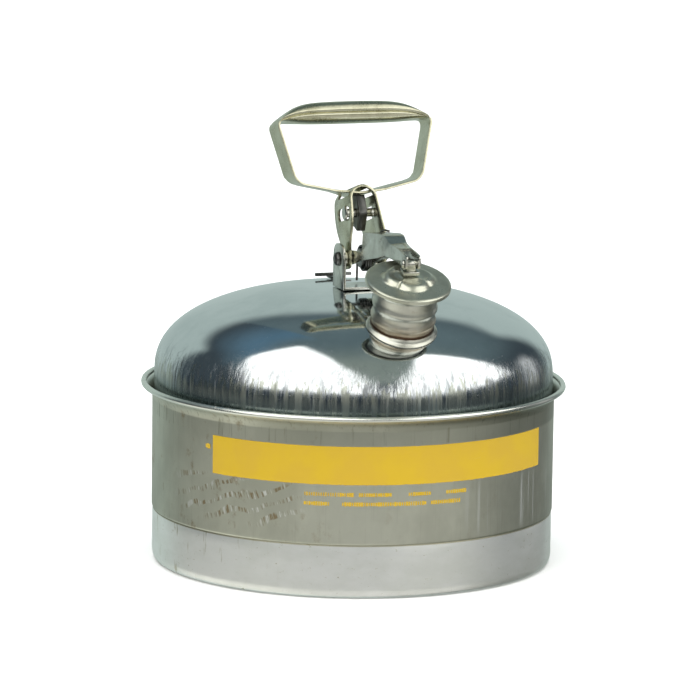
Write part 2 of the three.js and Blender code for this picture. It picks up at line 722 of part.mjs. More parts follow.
function yoke() {
  const narrowFront = [[-19, 38, 6], [-18.5, 24, 7], [-YOKE_EAR - 0.5, 9, 5], [-YOKE_EAR * 0.9, -YOKE_EAR * 0.9, 5.5]];
  const lobedFront = [[-19, 40, 5], [-32, 14, 5], [-31, 0, 6], [-21.5, -14.5, 5], [-10, -10.5, 3]];
  const sides = solidOf(sidePlate(yokeOutline(narrowFront), -20, 0.5))
    .add(solidOf(sidePlate(yokeOutline(lobedFront), -0.5, 20)));
  const bend = solidOf(yokeBend(0)).subtract(solidOf(yokeBend(YOKE_SHEET)));
  const strapBack = STRAP_WIDTH / 2 - STRAP_FORWARD + 2 * GAP;
  const strapFront = -STRAP_WIDTH / 2 - STRAP_FORWARD - 2 * GAP;
  const window = boxBetween([-20, strapFront, STRAP_DIP - 0.4], [20, strapBack, YOKE_TOP - 1.5]);
  const crown = boxBetween([-4.2, strapFront - 1, STRAP_DIP - 2], [4.2, strapBack + 1, YOKE_TOP]);
  const slot = sidePlate(roundedOutline([
    [-SLOT_BACK + SLOT_RADIUS, CROSS_PIN.up - SLOT_RADIUS, SLOT_RADIUS],
    [-SLOT_BACK + SLOT_RADIUS, CROSS_PIN.up + SLOT_RADIUS, SLOT_RADIUS],
    [-SLOT_FRONT - SLOT_RADIUS, CROSS_PIN.up + SLOT_RADIUS, SLOT_RADIUS],
    [-SLOT_FRONT - SLOT_RADIUS, CROSS_PIN.up - SLOT_RADIUS, SLOT_RADIUS],
  ]), -20, 20);
  return geometryOf(bend.intersect(sides)
    .subtract(solidOf(window).subtract(solidOf(crown)))
    .subtract(solidOf(slot))
    .subtract(solidOf(crossRod(PIVOT_RADIUS + PIN_CLEARANCE, -20, 20)))
    .subtract(solidOf(crossRod(LIFT_STUD.radius + GAP / 2, 0, 20, -LIFT_STUD.forward, LIFT_STUD.up))));
}

// The bent strip that the yoke is cut from, or the room inside it.
function yokeBend(inset) {
  const half = YOKE_HALF_WIDTH - inset;
  const outline = new THREE.Shape();
  const bendCentre = YOKE_TOP - YOKE_HALF_WIDTH;
  outline.moveTo(half, -40);
  outline.lineTo(half, bendCentre);
  outline.absarc(0, bendCentre, half, 0, Math.PI, false);
  outline.lineTo(-half, -40);
  outline.closePath();
  return new THREE.ExtrudeGeometry(outline, { depth: 90, bevelEnabled: false, curveSegments: 12 })
    .rotateX(Math.PI / 2).translate(0, 45, 0);
}

const strapUnderside = STRAP_DIP + 0.55;

// A pointed tongue under the strap, which hangs on the cross pin between the yoke's sides.
function handleTongue() {
  const top = strapUnderside - GAP;
  const plate = sidePlate(roundedOutline([
    [7, top], [-12, top, 1], [-16, 30, 3], [-7, 18, 1.5], [5, 26, 3],
  ]), -3, 3);
  return without(plate,
    crossRod(CROSS_PIN.radius - GAP, -20, 20, -CROSS_PIN.forward, CROSS_PIN.up),
    rod(1.9, 36, 60).translate(0, -STRAP_FORWARD, 0));
}

function crossPin() {
  const face = YOKE_HALF_WIDTH + GAP;
  const neck = CROSS_PIN.radius - 2 * GAP;
  return alongX(turned([
    [0, -face - 1.4],
    [4.9, -face - 1.4],
    [5.4, -face],
    [neck, -face],
    [neck, face],
    [5.4, face],
    [4.9, face + 1.4],
    [0, face + 1.4],
  ], 18, false)).translate(0, -CROSS_PIN.forward, CROSS_PIN.up);
}

function liftStud() {
  const outer = YOKE_HALF_WIDTH + GAP;
  const inner = LEVER_HALF_WIDTH - LEVER_SHEET - 2;
  return alongX(turned([
    [0, inner],
    [LIFT_STUD.radius, inner],
    [LIFT_STUD.radius, outer],
    [3.6, outer],
    [3, outer + 1.4],
    [0, outer + 1.4],
  ], 16, false)).translate(0, -LIFT_STUD.forward, LIFT_STUD.up);
}

// The strap's outline in (X, Z), moved inwards by an inset.
function strapOutline(inset, Outline) {
  const corners = [
    [-STRAP_TOP_HALF, STRAP_TOP, 7],
    [-STRAP_SHOULDER_HALF, STRAP_SHOULDER, 9],
    [0, STRAP_DIP, 6],
    [STRAP_SHOULDER_HALF, STRAP_SHOULDER, 9],
    [STRAP_TOP_HALF, STRAP_TOP, 7],
  ];
  const moved = corners.map(([x, z, radius], i) => {
    const here = new THREE.Vector2(x, z);
    const inFrom = here.clone().sub(new THREE.Vector2(...corners.at(i - 1))).normalize();
    const outTo = new THREE.Vector2(...corners[(i + 1) % corners.length]).sub(here).normalize();
    const bisector = outTo.clone().sub(inFrom).normalize();
    const halfAngle = Math.acos(THREE.MathUtils.clamp(-inFrom.dot(outTo), -1, 1)) / 2;
    return [x + (bisector.x * inset) / Math.sin(halfAngle), z + (bisector.y * inset) / Math.sin(halfAngle),
      radius - inset];
  });
  return roundedOutline(moved, Outline);
}

// A closed loft of oval sections along X, flat below and arched above.
function gripCore(sections = 16, sides = 16) {
  const positions = [];
  const triangles = [];
  for (let i = 0; i <= sections; i += 1) {
    const share = -1 + (2 * i) / sections;
    const low = GRIP_BOTTOM + 2.6 * Math.abs(share) ** 4;
    const high = GRIP_BOTTOM + GRIP_HEIGHT - 11.2 * Math.abs(share) ** 2.6;
    const depth = GRIP_HALF_DEPTH + (STRAP_WIDTH / 2 - 0.4 - GRIP_HALF_DEPTH) * share ** 4;
    for (let j = 0; j < sides; j += 1) {
      const angle = (j / sides) * 2 * Math.PI;
      positions.push(share * GRIP_HALF_LENGTH, -STRAP_FORWARD + depth * Math.cos(angle),
        (low + high) / 2 + ((high - low) / 2) * Math.sin(angle));
    }
  }
  const at = (i, j) => i * sides + (j % sides);
  for (let i = 0; i < sections; i += 1) {
    for (let j = 0; j < sides; j += 1) {
      triangles.push(at(i, j), at(i, j + 1), at(i + 1, j + 1), at(i, j), at(i + 1, j + 1), at(i + 1, j));
    }
  }
  for (let j = 1; j < sides - 1; j += 1) {
    triangles.push(at(0, 0), at(0, j + 1), at(0, j));
    triangles.push(at(sections, 0), at(sections, j), at(sections, j + 1));
  }
  const geometry = new THREE.BufferGeometry();
  geometry.setAttribute('position', new THREE.Float32BufferAttribute(positions, 3));
  geometry.setIndex(triangles);
  return geometry;
}

function bail() {
  const loop = strapOutline(0, THREE.Shape);
  loop.holes.push(strapOutline(STRAP_SHEET, THREE.Path));
  const strap = new THREE.ExtrudeGeometry(loop, { depth: STRAP_WIDTH, bevelEnabled: false, curveSegments: 4 })
    .rotateX(Math.PI / 2).translate(0, STRAP_WIDTH / 2 - STRAP_FORWARD, 0);
  const rivetHole = rod(1.9, STRAP_DIP - 5, STRAP_DIP + 10).translate(0, -STRAP_FORWARD, 0);
  return geometryOf(solidOf(strap).add(solidOf(gripCore())).subtract(solidOf(rivetHole)));
}

function bailRivet() {
  const headFoot = strapUnderside + STRAP_SHEET + GAP;
  return turned([
    [0, 38],
    [1.6, 38],
    [1.6, headFoot],
    [3.4, headFoot],
    [2.8, headFoot + 1.2],
    [0, headFoot + 1.5],
  ], 16, false).translate(0, -STRAP_FORWARD, 0);
}

addPiece(handleFrame, 'handle_bail', bail(), brightPlate);
addPiece(handleFrame, 'handle_yoke', yoke(), brightPlate);
addPiece(handleFrame, 'handle_tongue', handleTongue(), springSteel);
addPiece(handleFrame, 'tongue_pin', crossPin(), brightPlate);
addPiece(handleFrame, 'tongue_rivet', bailRivet(), brightPlate);
addPiece(handleFrame, 'lift_stud', liftStud(), brightPlate);

export default can;
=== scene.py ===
"""Looks of a squat sheet-metal safety can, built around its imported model.

Metres, +Z up. The can stands on Z = 0, its spout points towards -Y, and the handle's grip and
every hinge pin lie along X. Profiles are written in millimetres and scaled when they are built.
"""

import json
import logging
import math
from collections.abc import Callable, Sequence
from dataclasses import dataclass
from enum import Enum
from typing import Any

import bmesh
import bpy
import numpy as np
from mathutils import Matrix, Vector


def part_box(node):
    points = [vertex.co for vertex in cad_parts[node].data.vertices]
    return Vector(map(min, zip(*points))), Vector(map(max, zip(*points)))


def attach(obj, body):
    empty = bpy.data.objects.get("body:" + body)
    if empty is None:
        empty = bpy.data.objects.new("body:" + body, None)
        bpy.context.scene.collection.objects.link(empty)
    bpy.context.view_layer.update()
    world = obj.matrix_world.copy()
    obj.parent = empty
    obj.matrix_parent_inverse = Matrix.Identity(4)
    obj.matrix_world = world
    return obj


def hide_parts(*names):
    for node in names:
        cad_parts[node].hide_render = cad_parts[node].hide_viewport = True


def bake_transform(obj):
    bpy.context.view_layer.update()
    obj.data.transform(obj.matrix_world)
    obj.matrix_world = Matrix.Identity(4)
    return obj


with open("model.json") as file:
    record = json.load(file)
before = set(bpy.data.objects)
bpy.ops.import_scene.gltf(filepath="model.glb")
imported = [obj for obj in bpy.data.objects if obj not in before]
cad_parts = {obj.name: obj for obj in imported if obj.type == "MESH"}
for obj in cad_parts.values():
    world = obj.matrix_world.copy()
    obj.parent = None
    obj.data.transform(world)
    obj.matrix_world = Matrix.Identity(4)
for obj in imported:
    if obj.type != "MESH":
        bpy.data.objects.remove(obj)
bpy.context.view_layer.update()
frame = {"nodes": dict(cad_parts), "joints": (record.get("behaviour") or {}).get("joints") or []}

LOG = logging.getLogger("safety_can")
MM = 0.001
BUMP_DEPTH = 0.0004  # metres
PLATE_SHARP = 32  # degrees
HALVINGS = 40
TAU = 2 * math.pi
Colour = tuple[float, float, float]
Point2 = tuple[float, ...]
Faces = list[tuple[int, ...]]


# ------------------------------------------------------------------ node trees


class Field:
    """One node socket, whose Python operators add Math nodes to its tree."""

    def __init__(self, tree: "Tree", socket: bpy.types.NodeSocket) -> None:
        """Wraps a socket of a tree."""
        self.tree = tree
        self.socket = socket

    def math(self, operation: str, *values: Any) -> "Field":
        """Adds a Math node.

        Args:
            operation: The node's operation, such as "POWER".
            values: Its inputs in order, each a Field or a number.

        Returns:
            The node's result.
        """
        return self.tree.add("ShaderNodeMath", {"operation": operation}, dict(enumerate(values)))

    def __add__(self, other: Any) -> "Field":
        """self + other"""
        return self.math("ADD", self, other)

    __radd__ = __add__

    def __mul__(self, other: Any) -> "Field":
        """self * other"""
        return self.math("MULTIPLY", self, other)

    __rmul__ = __mul__

    def __sub__(self, other: Any) -> "Field":
        """self - other"""
        return self.math("SUBTRACT", self, other)

    def __rsub__(self, other: Any) -> "Field":
        """other - self"""
        return self.math("SUBTRACT", other, self)

    def __truediv__(self, other: Any) -> "Field":
        """self / other"""
        return self.math("DIVIDE", self, other)

    def __rtruediv__(self, other: Any) -> "Field":
        """other / self"""
        return self.math("DIVIDE", other, self)

    def __pow__(self, other: Any) -> "Field":
        """self ** other"""
        return self.math("POWER", self, other)

    def above(self, low: float) -> "Field":
        """The larger of self and low."""
        return self.math("MAXIMUM", self, low)

    def below(self, high: float) -> "Field":
        """The smaller of self and high."""
        return self.math("MINIMUM", self, high)

    def size(self) -> "Field":
        """Self without its sign."""
        return self.math("ABSOLUTE", self)

    def ramp(self, start: float, end: float) -> "Field":
        """A smooth step.

        Args:
            start: The value where the result is 0.
            end: The value where the result is 1; it may be the smaller of the two.

        Returns:
            A number from 0 to 1.
        """
        low, high = min(start, end), max(start, end)
        settings = {"interpolation_type": "SMOOTHSTEP"}
        step = self.tree.add("ShaderNodeMapRange", settings,
            {0: self, 1: low, 2: high, 3: 0.0, 4: 1.0})
        return step if start < end else 1 - step


class Tree:
    """A node tree under construction."""

    def __init__(self, tree: bpy.types.NodeTree) -> None:
        """Starts from an existing tree."""
        self.tree = tree

    def node(self, kind: str, settings: dict[str, Any], inputs: dict[Any, Any]) -> bpy.types.Node:
        """Adds a node.

        Args:
            kind: The node's Blender type.
            settings: Properties that are set before its sockets are used.
            inputs: A value, a Field or a socket for each input, by its name or number.

        Returns:
            The new node.
        """
        made = self.tree.nodes.new(kind)
        for key, value in settings.items():
            setattr(made, key, value)
        for key, value in inputs.items():
            if isinstance(value, Field):
                self.tree.links.new(value.socket, made.inputs[key])
            elif isinstance(value, bpy.types.NodeSocket):
                self.tree.links.new(value, made.inputs[key])
            else:
                made.inputs[key].default_value = value
        return made

    def add(self, kind: str, settings: dict[str, Any], inputs: dict[Any, Any],
        output: Any = 0) -> Field:
        """Adds a node and returns one of its outputs. Arguments are as for node()."""
        return Field(self, self.node(kind, settings, inputs).outputs[output])

    def combined(self, x: Any, y: Any, z: Any) -> Field:
        """A vector made of three numbers."""
        return self.add("ShaderNodeCombineXYZ", {}, {0: x, 1: y, 2: z})

    def parts(self, vector: Field) -> tuple[Field, Field, Field]:
        """The X, Y and Z of a vector."""
        split = self.node("ShaderNodeSeparateXYZ", {}, {0: vector})
        return tuple(Field(self, out) for out in split.outputs)

    def scaled(self, vector: Field, by: Sequence[float]) -> Field:
        """A vector multiplied by three numbers."""
        return self.add("ShaderNodeVectorMath", {"operation": "MULTIPLY"},
            {0: vector, 1: tuple(by)})

    def noise(self, vector: Field, scale: float = 1.0, detail: float = 4.0,
        rough: float = 0.55) -> Field:
        """Noise between about 0.2 and 0.8.

        Args:
            vector: Where the noise is read.
            scale: Features per unit of the vector.
            detail: Number of finer layers.
            rough: Strength of each finer layer.

        Returns:
            The noise's value.
        """
        inputs = {"Vector": vector, "Scale": scale, "Detail": detail, "Roughness": rough}
        return self.add("ShaderNodeTexNoise", {}, inputs, output=0)

    def blend(self, share: Any, first: Any, second: Any) -> Field:
        """A colour between two colours.

        Args:
            share: 0 for the first colour and 1 for the second.
            first: A Field or a colour of three numbers.
            second: A Field or a colour of three numbers.

        Returns:
            The mixed colour.
        """
        full = [(*c, 1.0) if isinstance(c, tuple) else c for c in (first, second)]
        settings = {"data_type": "RGBA", "clamp_factor": True}
        return self.add("ShaderNodeMix", settings, {0: share, 6: full[0], 7: full[1]}, output=2)


class GrowingTree(Tree):
    """A Geometry Nodes tree with named number inputs."""

    def __init__(self, name: str, inputs: dict[str, float]) -> None:
        """Makes the tree.

        Args:
            name: The tree's name.
            inputs: Each input's name and value. Whole numbers make whole-number sockets.
        """
        group = bpy.data.node_groups.new(name, "GeometryNodeTree")
        super().__init__(group)
        group.interface.new_socket("Geometry", in_out="INPUT", socket_type="NodeSocketGeometry")
        self.values: dict[str, float] = {}
        for label, value in inputs.items():
            kind = "NodeSocketInt" if isinstance(value, int) else "NodeSocketFloat"
            socket = group.interface.new_socket(label, in_out="INPUT", socket_type=kind)
            self.values[socket.identifier] = value
        group.interface.new_socket("Geometry", in_out="OUTPUT", socket_type="NodeSocketGeometry")
        self.given = group.nodes.new("NodeGroupInput")
        self.result = group.nodes.new("NodeGroupOutput")

    def value(self, label: str) -> Field:
        """One of the tree's own inputs."""
        return Field(self, self.given.outputs[label])

    def finish(self, geometry: Field, material: bpy.types.Material) -> None:
        """Ends the tree in Realize Instances and Set Material.

        Args:
            geometry: What the tree has made.
            material: The material of its faces.
        """
        real = self.add("GeometryNodeRealizeInstances", {}, {0: geometry})
        dressed = self.add("GeometryNodeSetMaterial", {}, {"Geometry": real, "Material": material})
        self.tree.links.new(dressed.socket, self.result.inputs[0])

    def grow(self, name: str, start: bpy.types.Mesh | None = None) -> bpy.types.Object:
        """Runs the tree and keeps its result as a plain mesh.

        Args:
            name: The new object's name.
            start: The mesh that the tree starts from, or None for an empty one.

        Returns:
            An object at the origin with no modifiers.
        """
        seed = bpy.data.objects.new(name + "_seed", start or bpy.data.meshes.new(name + "_seed"))
        bpy.context.scene.collection.objects.link(seed)
        modifier = seed.modifiers.new("grow", "NODES")
        modifier.node_group = self.tree
        for identifier, value in self.values.items():
            modifier[identifier] = value
        return settled(seed, name)


# ------------------------------------------------------------------ mesh helpers


def settled(source: bpy.types.Object, name: str) -> bpy.types.Object:
    """Turns an object and its modifiers into a plain mesh object, and removes the source.

    Args:
        source: An object linked to the scene.
        name: The new object's name.

    Returns:
        The new object, linked to the scene.
    """
    graph = bpy.context.evaluated_depsgraph_get()
    graph.update()
    mesh = bpy.data.meshes.new_from_object(source.evaluated_get(graph), depsgraph=graph)
    bpy.data.objects.remove(source)
    mesh.name = name
    made = bpy.data.objects.new(name, mesh)
    bpy.context.scene.collection.objects.link(made)
    return made


def object_from(name: str, points: np.ndarray, faces: Faces, sharp: float = 38) -> bpy.types.Object:
    """Makes a smooth-shaded mesh object.

    Args:
        name: The object's name.
        points: Vertices in metres.
        faces: Vertex numbers of each face.
        sharp: Edges that turn by more degrees than this stay sharp.

    Returns:
        The new object, linked to the scene.
    """
    mesh = bpy.data.meshes.new(name)
    mesh.from_pydata(points.tolist(), [], faces)
    mesh.validate()
    made = bpy.data.objects.new(name, mesh)
    bpy.context.scene.collection.objects.link(made)
    smooth(made, sharp)
    return made


def smooth(piece: bpy.types.Object, sharp: float = 38) -> None:
    """Shades a piece smooth, apart from its sharp edges.

    Args:
        piece: The object to shade.
        sharp: An edge that turns by more degrees than this stays sharp.
    """
    mesh = piece.data
    mesh.polygons.foreach_set("use_smooth", [True] * len(mesh.polygons))
    mesh.set_sharp_from_angle(angle=math.radians(sharp))
    mesh.update()


def outward(piece: bpy.types.Object) -> None:
    """Merges doubled vertices and turns every face outwards.

    Args:
        piece: The object whose mesh is put right.
    """
    work = bmesh.new()
    work.from_mesh(piece.data)
    bmesh.ops.remove_doubles(work, verts=work.verts, dist=1e-6)
    bmesh.ops.recalc_face_normals(work, faces=work.faces)
    work.to_mesh(piece.data)
    work.free()


def rounded(corners: Sequence[Point2], steps: int = 5,
    closed: bool = True) -> list[tuple[float, float]]:
    """Rounds the corners of an outline.

    Args:
        corners: (a, b) or (a, b, radius) of each corner.
        steps: Straight pieces per rounded corner.
        closed: Whether the last corner joins the first.

    Returns:
        The points of the rounded outline.
    """
    points: list[tuple[float, float]] = []
    count = len(corners)
    for i, corner in enumerate(corners):
        here = np.array(corner[:2], float)
        radius = corner[2] if len(corner) > 2 else 0.0
        if radius <= 0 or (not closed and i in (0, count - 1)):
            points.append((float(here[0]), float(here[1])))
            continue
        before = np.array(corners[i - 1][:2], float) - here
        after = np.array(corners[(i + 1) % count][:2], float) - here
        sizes = np.linalg.norm(before), np.linalg.norm(after)
        reach = min(radius, 0.48 * sizes[0], 0.48 * sizes[1])
        start, end = here + before / sizes[0] * reach, here + after / sizes[1] * reach
        for step in range(steps + 1):
            t = step / steps
            point = (1 - t) ** 2 * start + 2 * t * (1 - t) * here + t**2 * end
            points.append((float(point[0]), float(point[1])))
    return points


def turned(
    name: str,
    profile: Sequence[Point2] | Callable[[float], Sequence[Point2]],
    place: Matrix = Matrix.Identity(4),
    sides: int = 96,
    closed: bool = True,
    sharp: float = 38,
) -> bpy.types.Object:
    """Turns a profile of (radius, height) in millimetres about Z.

    Args:
        name: The object's name.
        profile: The profile, or a function that gives it at an angle from +X. It runs
            counter-clockwise, and a radius of 0 makes a pole.
        place: Where the turned shape goes.
        sides: Facets around the axis.
        closed: Whether the profile's last point joins its first.
        sharp: As for object_from().

    Returns:
        The new object.
    """
    at = profile if callable(profile) else lambda _angle: profile
    first = at(0.0)
    poles = [i for i, p in enumerate(first) if p[0] < 1e-9]
    rings = np.array([[(p[0], p[1]) for p in at(TAU * j / sides)] for j in range(sides)], float)
    angles = TAU * np.arange(sides)[:, None] / sides
    points = np.stack([rings[..., 0] * np.cos(angles), rings[..., 0] * np.sin(angles),
        rings[..., 1]], -1)
    count = len(first)
    index = np.arange(sides * count).reshape(sides, count)
    for pole in poles:
        index[:, pole] = index[0, pole]
    faces: Faces = []
    for j in range(sides):
        k = (j + 1) % sides
        for i in range(count if closed else count - 1):
            n = (i + 1) % count
            corners = [index[j, i], index[k, i], index[k, n], index[j, n]]
            unique = list(dict.fromkeys(int(c) for c in corners))
            if len(unique) > 2:
                faces.append(tuple(unique))
    flat = points.reshape(-1, 3) * MM
    used = sorted({c for face in faces for c in face})
    renumber = {old: new for new, old in enumerate(used)}
    faces = [tuple(renumber[c] for c in face) for face in faces]
    flat = flat[used] @ np.array(place.to_3x3()).T + np.array(place.translation)
    return object_from(name, flat, faces, sharp)


def lofted(
    name: str, sections: np.ndarray, loop: bool, capped: bool = True, sharp: float = 38
) -> bpy.types.Object:
    """Joins closed sections into one skin.

    Args:
        name: The object's name.
        sections: Points as (section, point, xyz), in metres, all with the same count.
        loop: Whether the last section joins the first.
        capped: Whether the ends of an open loft are closed.
        sharp: As for object_from().

    Returns:
        The new object.
    """
    rows, count = sections.shape[:2]
    faces: Faces = []
    for i in range(rows if loop else rows - 1):
        a, b = i * count, ((i + 1) % rows) * count
        for j in range(count):
            k = (j + 1) % count
            faces.append((a + j, a + k, b + k, b + j))
    if capped and not loop:
        faces.append(tuple(reversed(range(count))))
        faces.append(tuple(range((rows - 1) * count, rows * count)))
    made = object_from(name, sections.reshape(-1, 3), faces, sharp)
    outward(made)
    smooth(made, sharp)
    return made


def softened(node: str, name: str, width: float, steps: int = 2,
    angle: float = 38) -> bpy.types.Object:
    """A copy of a CAD node with its sharp edges rounded.

    Args:
        node: The CAD node that is copied.
        name: The new object's name.
        width: How far each rounding reaches, in millimetres.
        steps: Faces across each rounding.
        angle: Edges that turn by more degrees than this are rounded.

    Returns:
        The new object.
    """
    copy = bpy.data.objects.new(name + "_copy", frame["nodes"][node].data.copy())
    copy.data.materials.clear()
    bpy.context.scene.collection.objects.link(copy)
    work = bmesh.new()
    work.from_mesh(copy.data)
    bmesh.ops.remove_doubles(work, verts=work.verts, dist=2e-6)
    bmesh.ops.dissolve_limit(work, angle_limit=math.radians(1.0), verts=work.verts,
        edges=work.edges)
    work.to_mesh(copy.data)
    work.free()
    bevel = copy.modifiers.new("edges", "BEVEL")
    bevel.width = width * MM
    bevel.segments = steps
    bevel.limit_method = "ANGLE"
    bevel.angle_limit = math.radians(angle)
    bevel.use_clamp_overlap = True
    made = settled(copy, name)
    smooth(made, PLATE_SHARP)
    return made


def slab(
    name: str, outline: Sequence[Point2], across: tuple[float, float], place: Matrix,
    width: float = 0.35
) -> bpy.types.Object:
    """A plate of even thickness, whose outline lies in the YZ plane.

    Args:
        name: The object's name.
        outline: Corners as (y, z) or (y, z, radius), in millimetres.
        across: The X of its two faces, in millimetres.
        place: Where the plate goes.
        width: How far its edges are rounded, in millimetres.

    Returns:
        The new object.
    """
    ring = np.array(rounded(outline, 4))
    faces = [np.column_stack([np.full(len(ring), x), ring]) for x in across]
    sections = np.array(faces) * MM
    turn = np.array(place)
    made = lofted(name + "_raw", sections @ turn[:3, :3].T + turn[:3, 3], loop=False)
    bevel = made.modifiers.new("edges", "BEVEL")
    bevel.width = width * MM
    bevel.segments = 2
    bevel.limit_method = "ANGLE"
    bevel.angle_limit = math.radians(40)
    plate = settled(made, name)
    smooth(plate, PLATE_SHARP)
    return plate


CROSSWISE = Matrix.Rotation(math.pi / 2, 4, "Y")


def joined(name: str, parts: Sequence[bpy.types.Object]) -> bpy.types.Object:
    """Joins plates that are fixed to each other into one piece.

    Args:
        name: The new object's name.
        parts: The plates, which are removed.

    Returns:
        The new object.
    """
    work = bmesh.new()
    for part in parts:
        work.from_mesh(part.data)
    mesh = bpy.data.meshes.new(name)
    work.to_mesh(mesh)
    work.free()
    for part in parts:
        bpy.data.objects.remove(part)
    made = bpy.data.objects.new(name, mesh)
    bpy.context.scene.collection.objects.link(made)
    smooth(made, PLATE_SHARP)
    return made


# ------------------------------------------------------------------ finishes


class Slot(Enum):
    """The record's material slots."""

    WALL = "wall_steel"
    DOME = "dome_steel"
    BASE = "base_steel"
    NECK = "neck_steel"
    HANDLE = "handle_steel"
    FITTING = "fitting_steel"
    DARK = "dark_steel"
    MESH = "mesh_steel"
    RUBBER = "gasket_rubber"
    PAINT = "band_paint"


@dataclass(frozen=True)
class Surface:
    """What a finish varies over a surface: Fields, or None where it doesn't vary."""

    colour: Any
    roughness: Any
    height: Any = None
    metallic: Any = None


@dataclass(frozen=True)
class Finish:
    """A metal with soft clouds, fine grain and a few stains."""

    name: str
    slot: Slot
    colour: Colour
    shade: Colour
    stain: Colour
    roughness: float = 0.35
    spread: float = 0.12
    metallic: float = 1.0
    bump: float = 0.12
    grain: tuple[float, float, float] = (900.0, 900.0, 900.0)
    cloud: float = 60.0
    stained: float = 0.35
    shine: float = 0.5

    def surface(self, tree: Tree, spot: Field) -> Surface:
        """What varies over the finish.

        Args:
            tree: The material's tree.
            spot: Object coordinates, in metres.

        Returns:
            The varying values.
        """
        clouds = tree.noise(spot, self.cloud, 5, 0.6)
        grain = tree.noise(tree.scaled(spot, self.grain), 1.0, 3, 0.6)
        stains = tree.noise(spot, self.cloud * 2.3, 6, 0.7).ramp(0.56, 0.74) * self.stained
        colour = tree.blend(clouds.ramp(0.35, 0.68), self.colour, self.shade)
        colour = tree.blend(stains, colour, self.stain)
        uneven = (clouds - 0.5) * self.spread + (grain - 0.5) * self.spread
        roughness = uneven + stains * 0.15 + self.roughness
        return Surface(colour, roughness, grain * 0.6 + clouds * 0.4)

    def material(self) -> bpy.types.Material:
        """Makes the finish as a Blender material, once.

        Returns:
            The material.
        """
        known = bpy.data.materials.get(self.name)
        if known:
            return known
        made = bpy.data.materials.new(self.name)
        made.use_nodes = True
        made.node_tree.nodes.clear()
        tree = Tree(made.node_tree)
        spot = tree.add("ShaderNodeTexCoord", {}, {}, output="Object")
        varied = self.surface(tree, spot)
        sockets = {"Base Color": varied.colour, "Roughness": varied.roughness}
        sockets["Metallic"] = self.metallic if varied.metallic is None else varied.metallic
        sockets["Specular IOR Level"] = self.shine
        if varied.height is not None:
            bump = {"Height": varied.height, "Strength": self.bump, "Distance": BUMP_DEPTH}
            sockets["Normal"] = tree.add("ShaderNodeBump", {}, bump)
        shader = tree.add("ShaderNodeBsdfPrincipled", {}, sockets)
        tree.node("ShaderNodeOutputMaterial", {}, {0: shader})
        return made


@dataclass(frozen=True)
class WallFinish(Finish):
    """Satin drawn sheet with brown handling stains, upright scratches, dried runs and painted shade under
    the rim.
    """

    def surface(self, tree: Tree, spot: Field) -> Surface:
        """Works out what varies over the wall.

        Args:
            tree: The material's nodes.
            spot: The point in the row's frame.

        Returns:
            The varying values.
        """
        x, y, z = tree.parts(spot)
        upright = tree.noise(tree.scaled(spot, (420, 420, 14)), 1.0, 4, 0.6)
        rolled = tree.noise(tree.scaled(spot, (9, 9, 700)), 1.0, 3, 0.6)
        clouds = tree.noise(tree.scaled(spot, (16, 16, 10)), 1.0, 5, 0.6)
        turn = x.math("ARCTAN2", x, y * -1.0)
        arc = turn * 0.1435
        # Brown and pale ticks lie in slanting rows on the left, below the painted band.
        region = turn.ramp(-1.45, -1.15) * turn.ramp(-0.52, -0.68)
        region = region * z.ramp(0.044, 0.055) * z.ramp(0.082, 0.076)
        broken = tree.noise(tree.scaled(spot, (45, 45, 60)), 1.0, 3, 0.6)
        slant = (z - arc * 0.30) * 560 + broken * 9
        rows = slant.math("SINE", slant).ramp(0.15, 0.75)
        ticks = tree.noise(tree.combined(arc * 430 + z * 130, z * 45, 0.0), 1.0, 4, 0.6)
        pale = rows * region * ticks.ramp(0.46, 0.38)
        mottle = tree.noise(tree.scaled(spot, (75, 75, 60)), 1.0, 6, 0.7).ramp(0.57, 0.70)
        patches = mottle * turn.ramp(-0.2, -0.8) * turn.ramp(-3.1, -2.3) * 0.45 + mottle * 0.12
        stains = (rows * region * ticks.ramp(0.50, 0.60) * 0.8 + patches).below(0.9)
        runs = tree.noise(tree.scaled(spot, (330, 330, 5)), 1.0, 3, 0.5).ramp(0.56, 0.66)
        runs = runs * x.ramp(0.02, 0.07) * z.ramp(0.085, 0.07) * z.ramp(0.036, 0.05)
        scratch = upright.ramp(0.56, 0.68) * (z.ramp(0.1075, 0.109) * 0.6 + 0.12)
        # Painted shade: a band of the wall just under the rim's flare is darkened, across the front and
        # the right, where the bead shades it.
        painted_shade_under_rim = z.ramp(0.1060, 0.1085) * z.ramp(0.1245, 0.1225)
        painted_shade_under_rim = painted_shade_under_rim * turn.ramp(-1.0, -0.5) * turn.ramp(3.1, 2.3)
        colour = tree.blend(clouds.ramp(0.36, 0.66), self.colour, self.shade)
        colour = tree.blend(stains, colour, self.stain)
        colour = tree.blend(runs * 0.6, colour, (0.74, 0.75, 0.76))
        colour = tree.blend(scratch, colour, (0.27, 0.26, 0.19))
        colour = tree.blend(painted_shade_under_rim * 0.5, colour, (0.25, 0.255, 0.20))
        colour = tree.blend(pale * 0.7, colour, (0.95, 0.95, 0.93))
        bead = z.ramp(0.1235, 0.1252)
        colour = tree.blend(bead * 0.85, colour, (0.86, 0.87, 0.80))
        uneven = (clouds - 0.5) * 0.2 + (rolled - 0.5) * 0.12
        roughness = uneven + stains * 0.25 + runs * 0.15 + self.roughness
        roughness = roughness - bead * 0.18
        return Surface(colour, roughness, rolled * 0.25 + upright * 0.5 + clouds * 0.6)


